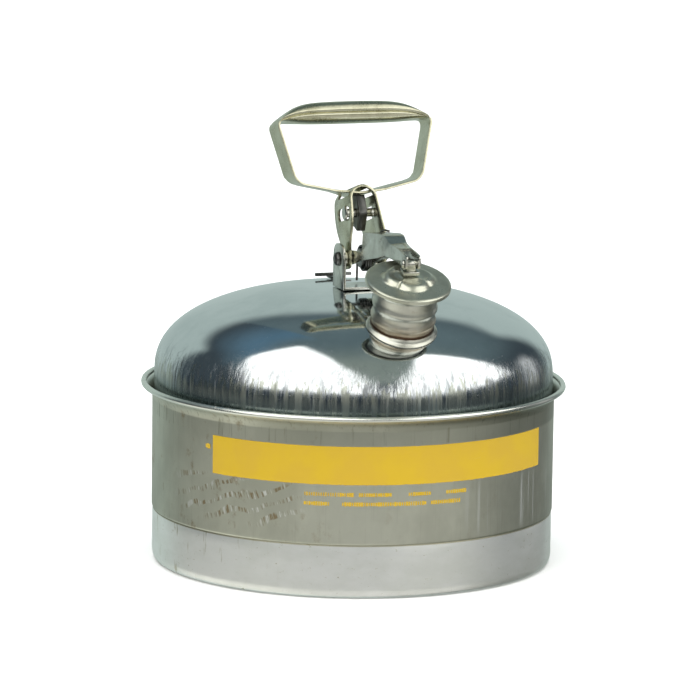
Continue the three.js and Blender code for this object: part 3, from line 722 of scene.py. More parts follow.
@dataclass(frozen=True)
class DomeFinish(Finish):
    """Bright drawn sheet, whose lower part keeps the upright marks of the press."""

    def surface(self, tree: Tree, spot: Field) -> Surface:
        """Works out what varies over the dome.

        Args:
            tree: The material's nodes.
            spot: The point in the row's frame.

        Returns:
            The varying values.
        """
        _, _, z = tree.parts(spot)
        low = z.ramp(0.166, 0.148)
        fine = tree.noise(tree.scaled(spot, (330, 330, 9)), 1.0, 4, 0.65)
        broad = tree.noise(tree.scaled(spot, (70, 70, 6)), 1.0, 3, 0.5)
        specks = tree.noise(spot, 700, 2, 0.5).ramp(0.68, 0.78)
        clouds = tree.noise(spot, 22, 5, 0.6)
        drag = fine.ramp(0.45, 0.64) * low
        # Every draw mark starts at its own height.
        reach = (tree.noise(tree.scaled(spot, (260, 260, 0)), 1.0, 4, 0.7) - 0.5) * 0.075
        pulled = (reach + 0.1445 - z).ramp(-0.0005, 0.003)
        scored = (reach * -1.2 + 0.136 - z).ramp(-0.0005, 0.004)
        colour = tree.blend(clouds.ramp(0.4, 0.7), self.colour, self.shade)
        colour = tree.blend(drag * broad.ramp(0.35, 0.6) * 0.75, colour, self.stain)
        colour = tree.blend(pulled * 0.55, colour, (0.28, 0.29, 0.19))
        colour = tree.blend(scored * 0.5, colour, (0.09, 0.11, 0.13))
        # Painted shade and reflection: the dome's foot is darkened towards dark teal, for the dark horizon
        # it mirrors and the shade of the rim's bead.
        colour = tree.blend(z.ramp(0.141, 0.133) * 0.6, colour, (0.16, 0.21, 0.22))
        colour = tree.blend(specks * 0.3, colour, self.stain)
        roughness = (clouds - 0.5) * self.spread + low * 0.06 + drag * 0.16 + specks * 0.2 + self.roughness
        roughness = roughness + pulled * 0.07
        height = (fine * 1.4 + broad * 1.6) * (low * 0.9 + 0.02) + clouds * 0.5
        return Surface(colour, roughness, height)


@dataclass(frozen=True)
class BaseFinish(Finish):
    """Pale galvanised sheet with dark pits, a dull bloom and a painted shadow along its top edge."""

    def surface(self, tree: Tree, spot: Field) -> Surface:
        """Works out what varies over the base band.

        Args:
            tree: The material's nodes.
            spot: The point in the row's frame.

        Returns:
            The varying values.
        """
        x, _, z = tree.parts(spot)
        clouds = tree.noise(tree.scaled(spot, (22, 22, 40)), 1.0, 5, 0.6)
        rolled = tree.noise(tree.scaled(spot, (30, 30, 420)), 1.0, 4, 0.6)
        pits = tree.noise(tree.scaled(spot, (240, 240, 420)), 1.0, 5, 0.7).ramp(0.62, 0.72)
        runs = tree.noise(tree.scaled(spot, (190, 190, 34)), 1.0, 4, 0.6)
        runs = runs.ramp(0.60, 0.72) * x.ramp(-0.08, -0.13)
        # Painted shadow: the top edge of the band is darkened in the stain colour, for the shadow of the
        # wall's lap step above it; the pits and runs are real marks.
        seam_shadow = z.ramp(0.0366, 0.0376)
        colour = tree.blend(clouds.ramp(0.35, 0.68), self.colour, self.shade)
        colour = tree.blend((pits * 0.7 + runs * 0.6 + seam_shadow * 0.8).below(0.9), colour, self.stain)
        roughness = (clouds - 0.5) * 0.16 + (rolled - 0.5) * 0.14 + pits * 0.2 + self.roughness
        return Surface(colour, roughness, rolled * 0.4 + clouds * 0.6 - pits * 0.5)


@dataclass(frozen=True)
class NeckFinish(Finish):
    """Spun sheet, browned by heat next to the brazed joint at the foot of the neck."""

    foot: tuple[float, float, float] = (0.0, 0.0, 0.0)
    along: tuple[float, float, float] = (0.0, 0.0, 1.0)

    def surface(self, tree: Tree, spot: Field) -> Surface:
        """Works out what varies over the neck.

        Args:
            tree: The material's nodes.
            spot: The point in the row's frame.

        Returns:
            The varying values.
        """
        plain = super().surface(tree, spot)
        shifted = tree.add("ShaderNodeVectorMath", {"operation": "SUBTRACT"},
            {0: spot, 1: self.foot})
        settings = {"operation": "DOT_PRODUCT"}
        rise = tree.add("ShaderNodeVectorMath", settings, {0: shifted, 1: self.along},
            output="Value")
        wobble = (tree.noise(spot, 130, 4, 0.6) - 0.5) * 0.009
        level = rise + wobble
        tint = level.ramp(0.016, 0.003) * rise.ramp(0.0016, 0.0022)
        line = (rise + wobble * 0.22 - 0.0028).size().ramp(0.0016, 0.0004)
        colour = tree.blend(tint * 0.7, plain.colour, (0.44, 0.33, 0.20))
        colour = tree.blend(line * 0.9, colour, (0.085, 0.040, 0.022))
        return Surface(colour, plain.roughness + tint * 0.12, plain.height)


@dataclass(frozen=True)
class PaintFinish(Finish):
    """Flat yellow paint, thin at a few scuffs."""

    def surface(self, tree: Tree, spot: Field) -> Surface:
        """Works out what varies over the paint.

        Args:
            tree: The material's nodes.
            spot: The point in the row's frame.

        Returns:
            The varying values.
        """
        clouds = tree.noise(spot, 34, 4, 0.6)
        grain = tree.noise(spot, 1500, 3, 0.6)
        scuffs = tree.noise(tree.scaled(spot, (90, 90, 500)), 1.0, 5, 0.7).ramp(0.66, 0.75)
        colour = tree.blend(clouds.ramp(0.36, 0.66), self.colour, self.shade)
        colour = tree.blend(scuffs * 0.5, colour, self.stain)
        return Surface(colour, (grain - 0.5) * 0.15 + scuffs * 0.1 + self.roughness,
            grain * 0.6 + clouds * 0.4)


SPOUT_TILT = math.radians(20)
SPOUT_AXIS = Vector((0, -math.sin(SPOUT_TILT), math.cos(SPOUT_TILT)))
PIN_ABOVE_RIM = 14.0
NECK_LENGTH = 36.0


def joint_place(name: str) -> Vector:
    """A point on a joint's axis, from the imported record."""
    return Vector(next(joint["pos_m"] for joint in frame["joints"] if joint["name"] == name))


PIVOT = joint_place("handle_swing")
TIP = joint_place("cap_tilt")
CAP_CENTRE = TIP - SPOUT_AXIS * (PIN_ABOVE_RIM * MM)
NECK_FOOT = CAP_CENTRE - SPOUT_AXIS * (NECK_LENGTH * MM)

WALL = WallFinish("wall_satin_steel", Slot.WALL, (0.66, 0.665, 0.56), (0.50, 0.505, 0.42),
    (0.26, 0.185, 0.085), 0.46)
DOME = DomeFinish(
    "dome_bright_steel", Slot.DOME, (0.70, 0.73, 0.74), (0.60, 0.64, 0.65), (0.16, 0.17, 0.18),
    0.09, 0.06, bump=0.35
)
BASE = BaseFinish(
    "base_pale_steel", Slot.BASE, (0.90, 0.905, 0.87), (0.78, 0.79, 0.74), (0.34, 0.31, 0.17),
    0.36, metallic=0.85
)
NECK = NeckFinish(
    "neck_spun_steel", Slot.NECK, (0.64, 0.64, 0.56), (0.52, 0.52, 0.44), (0.34, 0.28, 0.18), 0.33,
    0.12,
    grain=(500.0, 500.0, 1500.0), foot=tuple(NECK_FOOT), along=tuple(SPOUT_AXIS),
)
CAP = Finish(
    "cap_spun_steel", Slot.NECK, (0.60, 0.61, 0.50), (0.46, 0.47, 0.38), (0.30, 0.25, 0.14), 0.31,
    0.14, metallic=0.95
)
HANDLE = Finish("handle_plate", Slot.HANDLE, (0.60, 0.585, 0.435), (0.47, 0.455, 0.32),
    (0.24, 0.20, 0.09), 0.25, 0.14)
FITTING = Finish("fitting_plate", Slot.FITTING, (0.62, 0.62, 0.56), (0.46, 0.46, 0.40),
    (0.20, 0.16, 0.10), 0.22, 0.16)
DARK = Finish("spring_steel", Slot.DARK, (0.16, 0.16, 0.15), (0.09, 0.09, 0.085),
    (0.16, 0.10, 0.06), 0.32, 0.14)
MESH = Finish("wire_steel", Slot.MESH, (0.48, 0.47, 0.43), (0.34, 0.33, 0.30), (0.2, 0.15, 0.1),
    0.4)
PAN = Finish("pan_steel", Slot.WALL, (0.50, 0.50, 0.47), (0.38, 0.38, 0.35), (0.20, 0.15, 0.10),
    0.45, cloud=24.0)
RUBBER = Finish(
    "black_rubber", Slot.RUBBER, (0.020, 0.020, 0.019), (0.034, 0.032, 0.030), (0.06, 0.055, 0.05),
    0.72, metallic=0.0
)
PAINT = PaintFinish(
    "flat_yellow_paint", Slot.PAINT, (0.52, 0.345, 0.022), (0.50, 0.325, 0.030),
    (0.40, 0.33, 0.13), 0.62, metallic=0.0,
    bump=0.05, shine=0.15,
)


# ------------------------------------------------------------------ sub-assemblies


@dataclass
class Assembly:
    """A group of pieces that ride on one body."""

    body: str

    def keep(
        self, piece: bpy.types.Object, finish: Finish, nodes: Sequence[str] = (),
        body: str | None = None,
        bend: tuple[str, Vector, Vector] | None = None,
    ) -> bpy.types.Object:
        """Dresses a finished piece and joins it to the frame.

        Args:
            piece: An object at the origin with no modifiers.
            finish: Its finish.
            nodes: The CAD nodes that it stands for.
            body: The body it rides on, where that isn't the assembly's own.
            bend: A second body, with where the piece starts and ends its bend towards it; when given, the
                piece is only left in place, joined to no body, and these values are not used.

        Returns:
            The piece.
        """
        piece.data.materials.clear()
        piece.data.materials.append(finish.material())
        for polygon in piece.data.polygons:
            polygon.material_index = 0
        if bend:
            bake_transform(piece)
        else:
            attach(piece, body or self.body)
        if nodes:
            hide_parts(*nodes)
        LOG.info("%s: %d faces, rides on %s", piece.name, len(piece.data.polygons),
            body or self.body)
        return piece


@dataclass
class Vessel(Assembly):
    """The base band, bottom pan, wall, dome and painted marks."""

    wall: float = 143.5
    sheet: float = 0.9
    band_height: float = 38.0
    rim: float = 127.2
    flare: float = 8.1
    bead: float = 2.08
    skirt: float = 8.0
    rise: float = 69.7
    power: float = 2.36
    tuck: float = 14.0
    sides: int = 256

    @property
    def dome_radius(self) -> float:
        """Outer radius of the dome, in millimetres."""
        return self.wall - self.sheet - 0.3

    def dome_height(self, radius: float) -> float:
        """Height of the dome's outer surface at a radius, in millimetres."""
        share = min(radius / self.dome_radius, 1.0) ** self.power
        return self.rim + self.skirt + (self.rise - self.skirt) * (1 - share) ** (1 / self.power)

    def build(self) -> None:
        """Makes every piece of the vessel."""
        self.base_band()
        self.bottom_pan()
        self.body_wall()
        self.lap_seam()
        self.dome()
        self.painted_band()
        self.fine_print()

    def base_band(self) -> None:
        """The band that the can stands on, with a rounded foot and an eased upper edge."""
        outer, top, sheet = self.wall - 0.5, self.band_height - 0.3, self.sheet
        tongue = self.wall - sheet - 0.3
        corners = [
            (outer - 11, 0, 0.3), (outer - 5, 0, 1.5), (outer - 1.2, 1.4, 1.6), (outer, 5.2, 2.5),
            (outer, 32.4, 1),
            (outer - 0.15, top, 0.5),
            (tongue, top - 0.2, 0.1), (tongue, top + 9.3), (tongue - sheet, top + 9.3),
            (tongue - sheet, top - 1.6),
            (outer - sheet - 0.4, top - 2.6), (outer - sheet - 0.4, 6), (outer - 5, sheet, 1),
            (outer - 11, sheet),
        ]
        self.keep(turned("base_band_skin", rounded(corners), sides=self.sides), BASE, ["base_band"])

    def bottom_pan(self) -> None:
        """The recessed bottom, with two pressed rings."""
        edge = self.wall - 0.5 - self.sheet - 0.4
        corners = [
            (0, 13.1), (40, 13.1, 2), (42, 13.5, 2), (48, 13.5, 2), (50, 13.1, 2), (118, 13.1, 3),
            (121, 13.5, 2),
            (126, 13.5, 2), (129, 13.1, 2), (edge - 1, 13.1, 2), (edge - 1, 9.4), (edge, 9.4),
            (edge, 13.7, 0.8), (0, 13.8),
        ]
        self.keep(turned("bottom_pan_skin", rounded(corners, closed=False), sides=192,
            closed=False), PAN, ["bottom_pan"])

    def body_wall(self) -> None:
        """The wall, which flares into a rolled bead round the rim."""
        wall, inner, foot = self.wall, self.wall - self.sheet, self.rim - 9
        centre = wall + self.flare - 2.1
        bead = [
            (centre + self.bead * math.cos(math.radians(a)),
            self.rim + self.bead * math.sin(math.radians(a)))
            for a in range(-112, 218, 15)
        ]
        corners = [
            (inner + 0.2, self.band_height + 0.1, 0.2), (wall - 0.5, self.band_height + 0.1, 0.5),
            (wall, self.band_height + 1.1, 0.8), (wall, self.rim - 11, 3),
            (wall + 0.0, foot - 0.6, 1.5), (wall + 1.4, foot + 3.4, 3),
            (wall + 5.0, foot + 7.2, 2), *bead,
            (wall + 3.4, foot + 7.6, 1.5), (wall + 0.5, foot + 3.9, 3), (inner, foot, 3),
        ]
        self.keep(turned("body_wall_skin", rounded(corners), sides=self.sides), WALL, ["body_wall"])

    def lap_seam(self) -> None:
        """The upright lap where the wall's sheet joins, at the back."""
        heights = np.linspace(self.band_height + 1.6, self.rim - 12.8, 30)
        across = [(-6.6, 0.05), (-6.2, 0.42), (-5.4, 0.5), (0, 0.52), (5.4, 0.5), (6.2, 0.42),
            (6.6, 0.05)]
        outline = across + [(6.6, -0.2), (-6.6, -0.2)]
        sections = []
        for z in heights:
            row = []
            for arc, proud in outline:
                angle = math.pi / 2 - arc / self.wall
                radius = self.wall + proud + (0.06 * math.sin(z * 0.9) if proud > 0.3 else 0)
                row.append((radius * math.cos(angle) * MM, radius * math.sin(angle) * MM, z * MM))
            sections.append(row)
        self.keep(lofted("wall_lap_seam", np.array(sections), loop=False), WALL)

    def dome(self) -> None:
        """The domed top, grown from its rule, given its thickness and cut for the neck."""
        sizes = {
            "Outer Radius": self.dome_radius * MM, "Rise": (self.rise - self.skirt) * MM,
            "Exponent": self.power,
            "Foot Height": (self.rim - self.tuck) * MM, "Upright": (self.tuck + self.skirt) * MM,
            "Ripple": 0.00022, "Around": 289, "Along": 81,
        }
        tree = GrowingTree("dome_rule", sizes)
        counts = {"Size X": 1.0, "Size Y": 1.0, "Vertices X": tree.value("Around"),
            "Vertices Y": tree.value("Along")}
        grid = tree.add("GeometryNodeMeshGrid", {}, counts)
        across, along, _ = tree.parts(tree.add("GeometryNodeInputPosition", {}, {}))
        angle = (across + 0.5) * TAU
        upright_share = 0.14
        share = ((along + 0.5) / upright_share).below(1.0)
        bend = ((along + 0.5 - upright_share) / (1 - upright_share)).above(0.0) * (math.pi / 2)
        half = 1 / (tree.value("Exponent") * 0.5)
        radius = tree.value("Outer Radius") * (bend.math("COSINE", bend).above(0.0) ** half)
        height = tree.value("Rise") * (bend.math("SINE", bend).above(0.0) ** half)
        height = height + tree.value("Foot Height") + tree.value("Upright") * share
        east, north = angle.math("COSINE", angle), angle.math("SINE", angle)
        waves = tree.noise(tree.combined(east * 5.5, north * 5.5, height * 18), 1.0, 2, 0.5)
        radius = radius - tree.value("Ripple") * waves
        moved = tree.combined(radius * east, radius * north, height)
        placed = tree.add("GeometryNodeSetPosition", {}, {"Geometry": grid, "Position": moved})
        joined = tree.add("GeometryNodeMergeByDistance", {},
            {"Geometry": placed, "Distance": 0.00002})
        tree.finish(joined, DOME.material())
        shell = tree.grow("dome_shell")
        outward(shell)
        shell.modifiers.new("thickness", "SOLIDIFY").thickness = self.sheet * MM
        place = Matrix.Translation(CAP_CENTRE) @ Matrix.Rotation(SPOUT_TILT, 4, "X")
        cutter = turned("cutter", [(0, -70), (22.1, -70), (22.1, -5), (0, -5)], place, 96,
            closed=False)
        cut = shell.modifiers.new("neck_hole", "BOOLEAN")
        cut.object = cutter
        cut.operation = "DIFFERENCE"
        cut.solver = "EXACT"
        dome = settled(shell, "dome_skin")
        bpy.data.objects.remove(cutter)
        smooth(dome, 50)
        self.keep(dome, DOME, ["dome_top"])

    def painted_band(self) -> None:
        """The yellow band and the small chip of paint beside it."""
        rng = np.random.default_rng(7)
        inner, outer = self.wall + 0.04, self.wall + 0.26
        patches = [(-61.4, 46.5, 80.5, 107.4, 220, 0.10), (-64.2, -62.4, 97.2, 100.6, 6, 0.35)]
        points: list[tuple[float, float, float]] = []
        faces: Faces = []
        for left, right, low, high, count, jitter in patches:
            start = len(points)
            wobble = rng.normal(0, jitter, (count + 1, 2))
            for i in range(count + 1):
                angle = math.radians(left + (right - left) * i / count - 90)
                base, crest = low + wobble[i, 0], min(high + wobble[i, 1], 107.38)
                for radius, z in ((inner, base), (outer, base + 0.1), (outer, crest - 0.1),
                    (inner, crest)):
                    points.append((radius * math.cos(angle) * MM, radius * math.sin(angle) * MM,
                        z * MM))
            for i in range(count):
                for j in range(4):
                    k = (j + 1) % 4
                    a, b = start + 4 * i, start + 4 * (i + 1)
                    faces.append((a + j, b + j, b + k, a + k))
            last = start + 4 * count
            faces += [(start, start + 1, start + 2, start + 3),
                (last + 3, last + 2, last + 1, last)]
        band = object_from("painted_band", np.array(points), faces)
        outward(band)
        smooth(band)
        self.keep(band, PAINT, ["label_band"])

    def fine_print(self) -> None:
        """Two rows of small plain yellow ticks below the band, in groups."""
        tree = GrowingTree(
            "tick_rows",
            {"Radius": (self.wall + 0.06) * MM, "Lower Row": 0.0671, "Row Step": 0.0066,
            "From": -32.0, "To": 17.5,
             "Ticks": 150, "Seed": 4},
        )
        line = {"Count": tree.value("Ticks"), "Start Location": (0, 0, 0), "Offset": (0, 0, 0)}
        dots = tree.add("GeometryNodeMeshLine", {}, line)
        index = tree.add("GeometryNodeInputIndex", {}, {})
        half = tree.value("Ticks") * 0.5
        row = index.math("GREATER_THAN", index, half - 0.5)
        along = (index - row * half) / half
        degrees = tree.value("From") + (tree.value("To") - tree.value("From")) * along
        angle = degrees * (math.pi / 180) - math.pi / 2
        radius = tree.value("Radius")
        spot = tree.combined(
            radius * angle.math("COSINE", angle), radius * angle.math("SINE", angle),
            tree.value("Lower Row") + tree.value("Row Step") * row,
        )
        placed = tree.add("GeometryNodeSetPosition", {}, {"Geometry": dots, "Position": spot})
        word = {"W": along * 9.0 + row * 3.7 + tree.value("Seed"), "Scale": 1.0, "Detail": 0.0}
        gap = tree.add("ShaderNodeTexNoise", {"noise_dimensions": "1D"}, word, output=0)
        kept = tree.add(
            "GeometryNodeDeleteGeometry", {"domain": "POINT"},
            {"Geometry": placed, "Selection": gap.math("LESS_THAN", gap, 0.40)},
        )
        tick = tree.add("GeometryNodeMeshCube", {}, {"Size": (0.0003, 0.00135, 0.0029)})
        scatter = {"data_type": "FLOAT_VECTOR"}
        bounds = {"Min": (1.0, 0.55, 0.72), "Max": (1.0, 1.25, 1.04), "Seed": tree.value("Seed")}
        sizes = tree.add("FunctionNodeRandomValue", scatter, bounds, output=0)
        turn = tree.combined(0.0, 0.0, angle)
        ticks = tree.add(
            "GeometryNodeInstanceOnPoints", {},
            {"Points": kept, "Instance": tick, "Rotation": turn, "Scale": sizes}
        )
        tree.finish(ticks, PAINT.material())
        rows = tree.grow("tick_rows")
        self.keep(rows, PAINT)


@dataclass
class Spout(Assembly):
    """The neck with its flame arrester, and the cap that closes it."""

    neck: float = 21.8
    bore: float = 20.7
    lip: float = 25.0
    lip_drop: float = 2.2
    cap: float = 30.0
    boss: float = 18.0
    boss_height: float = 5.2
    screen: float = 18.0
    screen_top: float = 9.0
    screen_length: float = 78.0

    @property
    def place(self) -> Matrix:
        """The spout's frame, whose origin is the centre of the cap's rim plane."""
        return Matrix.Translation(CAP_CENTRE) @ Matrix.Rotation(SPOUT_TILT, 4, "X")

    def build(self, vessel: Vessel) -> None:
        """Makes every piece of the spout.

        Args:
            vessel: The vessel that the neck stands on.
        """
        self.neck_tube()
        self.collar(vessel)
        self.arrester()
        self.cap_shell()
        self.cap_fittings()

    def neck_tube(self) -> None:
        """The neck, with two rolled beads and a turned-out lip."""
        lip, neck = -self.lip_drop, self.neck
        beads = []
        for depth in (27.2, 17.4):
            beads += [(neck, -depth - 3.4, 2), (neck + 1.35, -depth, 3.6), (neck, -depth + 3.4, 2)]
        corners = [
            (self.bore, -46), (neck, -46), (neck, -30), *beads, (neck, lip - 4.8, 2.5),
            (self.lip - 0.4, lip - 2.2, 1.2),
            (self.lip, lip - 1, 0.8), (self.lip - 0.6, lip, 0.6), (self.bore + 0.6, lip, 0.6),
            (self.bore, lip - 1, 0.5),
        ]
        self.keep(turned("neck_skin", rounded(corners, 6), self.place, 128), NECK, ["spout_neck"])

    def collar(self, vessel: Vessel) -> None:
        """The brazed flange round the foot of the neck, which follows the dome.

        Args:
            vessel: The vessel whose dome it follows.
        """
        inner, outer, top = self.neck + 0.3, self.neck + 3.2, -NECK_LENGTH + 2.0
        turn = np.array(self.place)

        def foot(angle: float, radius: float) -> float:
            """Height, along the spout, where a line beside its axis meets the dome."""
            low, high = -70.0, -10.0
            for _ in range(HALVINGS):
                middle = (low + high) / 2
                local = np.array([radius * math.cos(angle) * MM, radius * math.sin(angle) * MM,
                    middle * MM, 1])
                x, y, z = (turn @ local)[:3] / MM
                if z > vessel.dome_height(math.hypot(x, y)) + 0.32:
                    high = middle
                else:
                    low = middle
            return high

        def profile(angle: float) -> list[tuple[float, float]]:
            """The collar's section at an angle."""
            base, edge = foot(angle, inner), foot(angle, outer)
            crest = max(top, base + 1.2)
            return [
                (inner, base), (outer, edge), (outer, edge + 0.5), (outer - 0.35, edge + 0.95),
                (outer - 1.0, edge + 1.35),
                (outer - 1.7, (edge + crest) / 2 + 0.5), (outer - 2.2, crest - 0.8),
                (outer - 2.6, crest - 0.1),
                (inner, crest),
            ]

        self.keep(turned("neck_collar_skin", profile, self.place, 96), NECK, ["neck_collar"])

    def arrester(self) -> None:
        """The flanged rim, woven wire tube and end cup of the flame arrester."""
        top, bore, tube = -self.screen_top, self.bore - 0.3, self.screen - 0.9
        rim = [
            (tube, top + 0.3), (bore, top + 0.3), (bore, top + 3.5, 0.4),
            (bore - 1, top + 3.5, 0.4),
            (bore - 1.4, top + 2.4, 0.6), (tube, top + 2.2, 0.5),
        ]
        self.keep(turned("arrester_flange", rounded(rim), self.place, 96), FITTING,
            ["arrester_rim"])
        foot = top - self.screen_length
        cup = [(0, foot - 1.2), (19.2, foot - 1.2, 1), (19.2, foot + 5), (18.3, foot + 5),
            (18.3, foot - 0.3), (0, foot - 0.3)]
        end = turned("arrester_cup", rounded(cup, closed=False), self.place, 72, closed=False)
        self.keep(end, MESH, ["arrester_end"])
        tree = GrowingTree("woven_tube",
            {"Radius": (self.screen - 0.45) * MM, "Length": (self.screen_length - 0.8) * MM,
                                          "Wire": 0.00036, "Around": 44, "Rows": 56})
        tube_inputs = {
            "Vertices": tree.value("Around"), "Side Segments": tree.value("Rows"),
            "Radius": tree.value("Radius"), "Depth": tree.value("Length"),
        }
        tube_mesh = tree.add("GeometryNodeMeshCylinder", {"fill_type": "NONE"}, tube_inputs)
        wires = tree.add("GeometryNodeMeshToCurve", {}, {"Mesh": tube_mesh})
        ring = tree.add("GeometryNodeCurvePrimitiveCircle", {},
            {"Resolution": 4, "Radius": tree.value("Wire")})
        skin = tree.add("GeometryNodeCurveToMesh", {},
            {"Curve": wires, "Profile Curve": ring, "Fill Caps": True})
        tree.finish(skin, MESH.material())
        screen = tree.grow("arrester_mesh")
        middle = Matrix.Translation((0, 0, (top - self.screen_length / 2) * MM))
        screen.data.transform(self.place @ middle)
        smooth(screen, 60)
        self.keep(screen, MESH, ["arrester_screen"])

    def cap_shell(self) -> None:
        """The cap: a spun disc with a lobed boss and a short skirt."""
        under, sheet = 0.0, 1.1
        top = under + sheet

        def profile(angle: float) -> list[tuple[float, float]]:
            """The cap's section at an angle; the boss swells towards four lobes."""
            lobe = abs(math.cos(2 * angle)) ** 0.5
            crest, boss = self.boss_height, self.boss - 3.6 * (1 - lobe)
            dish = 0.9 * lobe
            corners = [
                (2.7, crest - sheet - 0.3), (boss - 5, crest - sheet - 0.2, 1),
                (boss - 1.6, crest - 2.6, 1.2),
                (boss + 0.6, under + 0.5, 1), (self.cap - sheet, under, 0.6),
                (self.cap - sheet, -2.3, 0.2),
                (self.cap, -2.3, 0.3), (self.cap, top - 0.9, 0.9), (self.cap - 1.6, top, 0.9),
                (boss + 2.6, top + 0.45, 2),
                (boss + 0.9, top + 0.9, 1.2), (boss - 1.0, crest - 0.9, 1.6),
                (boss - 3.0, crest, 1.6),
                (boss - 5.4, crest - dish * 0.55, 1.6), (10.5, crest - dish, 2.5),
                (7.6, crest - dish * 0.6, 2),
                (6.0, crest, 1), (2.7, crest, 0.2),
            ]
            return rounded(corners, 5)

        shell = turned("cap_skin", profile, self.place, 160)
        self.keep(shell, CAP, ["cap_shell"], "cap")

    def cap_fittings(self) -> None:
        """The gasket, its retainer, the rivet and the stem under the lever's tip."""
        low, gasket_top = -self.lip_drop + 0.3, -0.3
        outer = self.cap - 2.9
        gasket = [(16.4, low, 0.5), (outer, low, 0.7), (outer, gasket_top, 0.7),
            (16.4, gasket_top, 0.5)]
        self.keep(turned("cap_gasket_ring", rounded(gasket), self.place, 96), RUBBER,
            ["cap_gasket"], "cap")
        plate, hub, crown = -self.lip_drop - 1.1, 2.75, self.boss_height - 1.1 - 0.35
        dish = [
            (hub, plate), (8, plate, 1), (10, plate, 1), (17.4, plate, 0.8),
            (18.3, plate + 0.9, 0.3),
            (17.4, plate + 0.95, 0.3), (4.2, plate + 0.95, 0.4), (4.0, crown, 0.3), (hub, crown),
        ]
        self.keep(turned("gasket_washer", rounded(dish), self.place, 96), FITTING,
            ["gasket_retainer"], "cap")
        head = plate - 2.05
        rivet = [
            (0, head), (3.6, head, 1), (4.9, head + 0.9, 0.6), (4.9, head + 1.7, 0.3),
            (2.4, head + 1.8),
            (2.4, self.boss_height + 2.1, 0.3), (0, self.boss_height + 2.1),
        ]
        shank = turned("cap_rivet_skin", rounded(rivet, closed=False), self.place, 48, closed=False)
        self.keep(shank, FITTING, ["cap_rivet"], "cap")
        self.stem()


    def stem(self) -> None:
        """The block on the cap, with an eye above it for the pin at the lever's tip."""
        foot, half, eye = self.boss_height + 0.3, 5.8, PIN_ABOVE_RIM
        base = [(-4, foot + 0.9, 0.5), (4, foot + 0.9, 0.5), (4, foot + 3.6, 0.6),
            (-4, foot + 3.6, 0.6)]
        neck = [(-2.6, foot), (2.6, foot), (2.6, foot + 1.2), (-2.6, foot + 1.2)]
        bow = [(2.3, foot + 3.3), (2.3, eye, 0.2)]
        bow += [(2.3 * math.cos(a), eye + 2.3 * math.sin(a)) for a in np.linspace(0.2,
            math.pi - 0.2, 11)]
        bow += [(-2.3, eye, 0.2), (-2.3, foot + 3.3)]
        parts = [
            slab("stem_base", base, (-half, half), self.place, 0.4),
            slab("stem_neck", neck, (-3.6, 3.6), self.place, 0.2),
            slab("stem_eye", bow, (-3.2, 3.2), self.place, 0.35),
        ]
        self.keep(joined("cap_stem_block", parts), FITTING, ["cap_stem"], "cap")


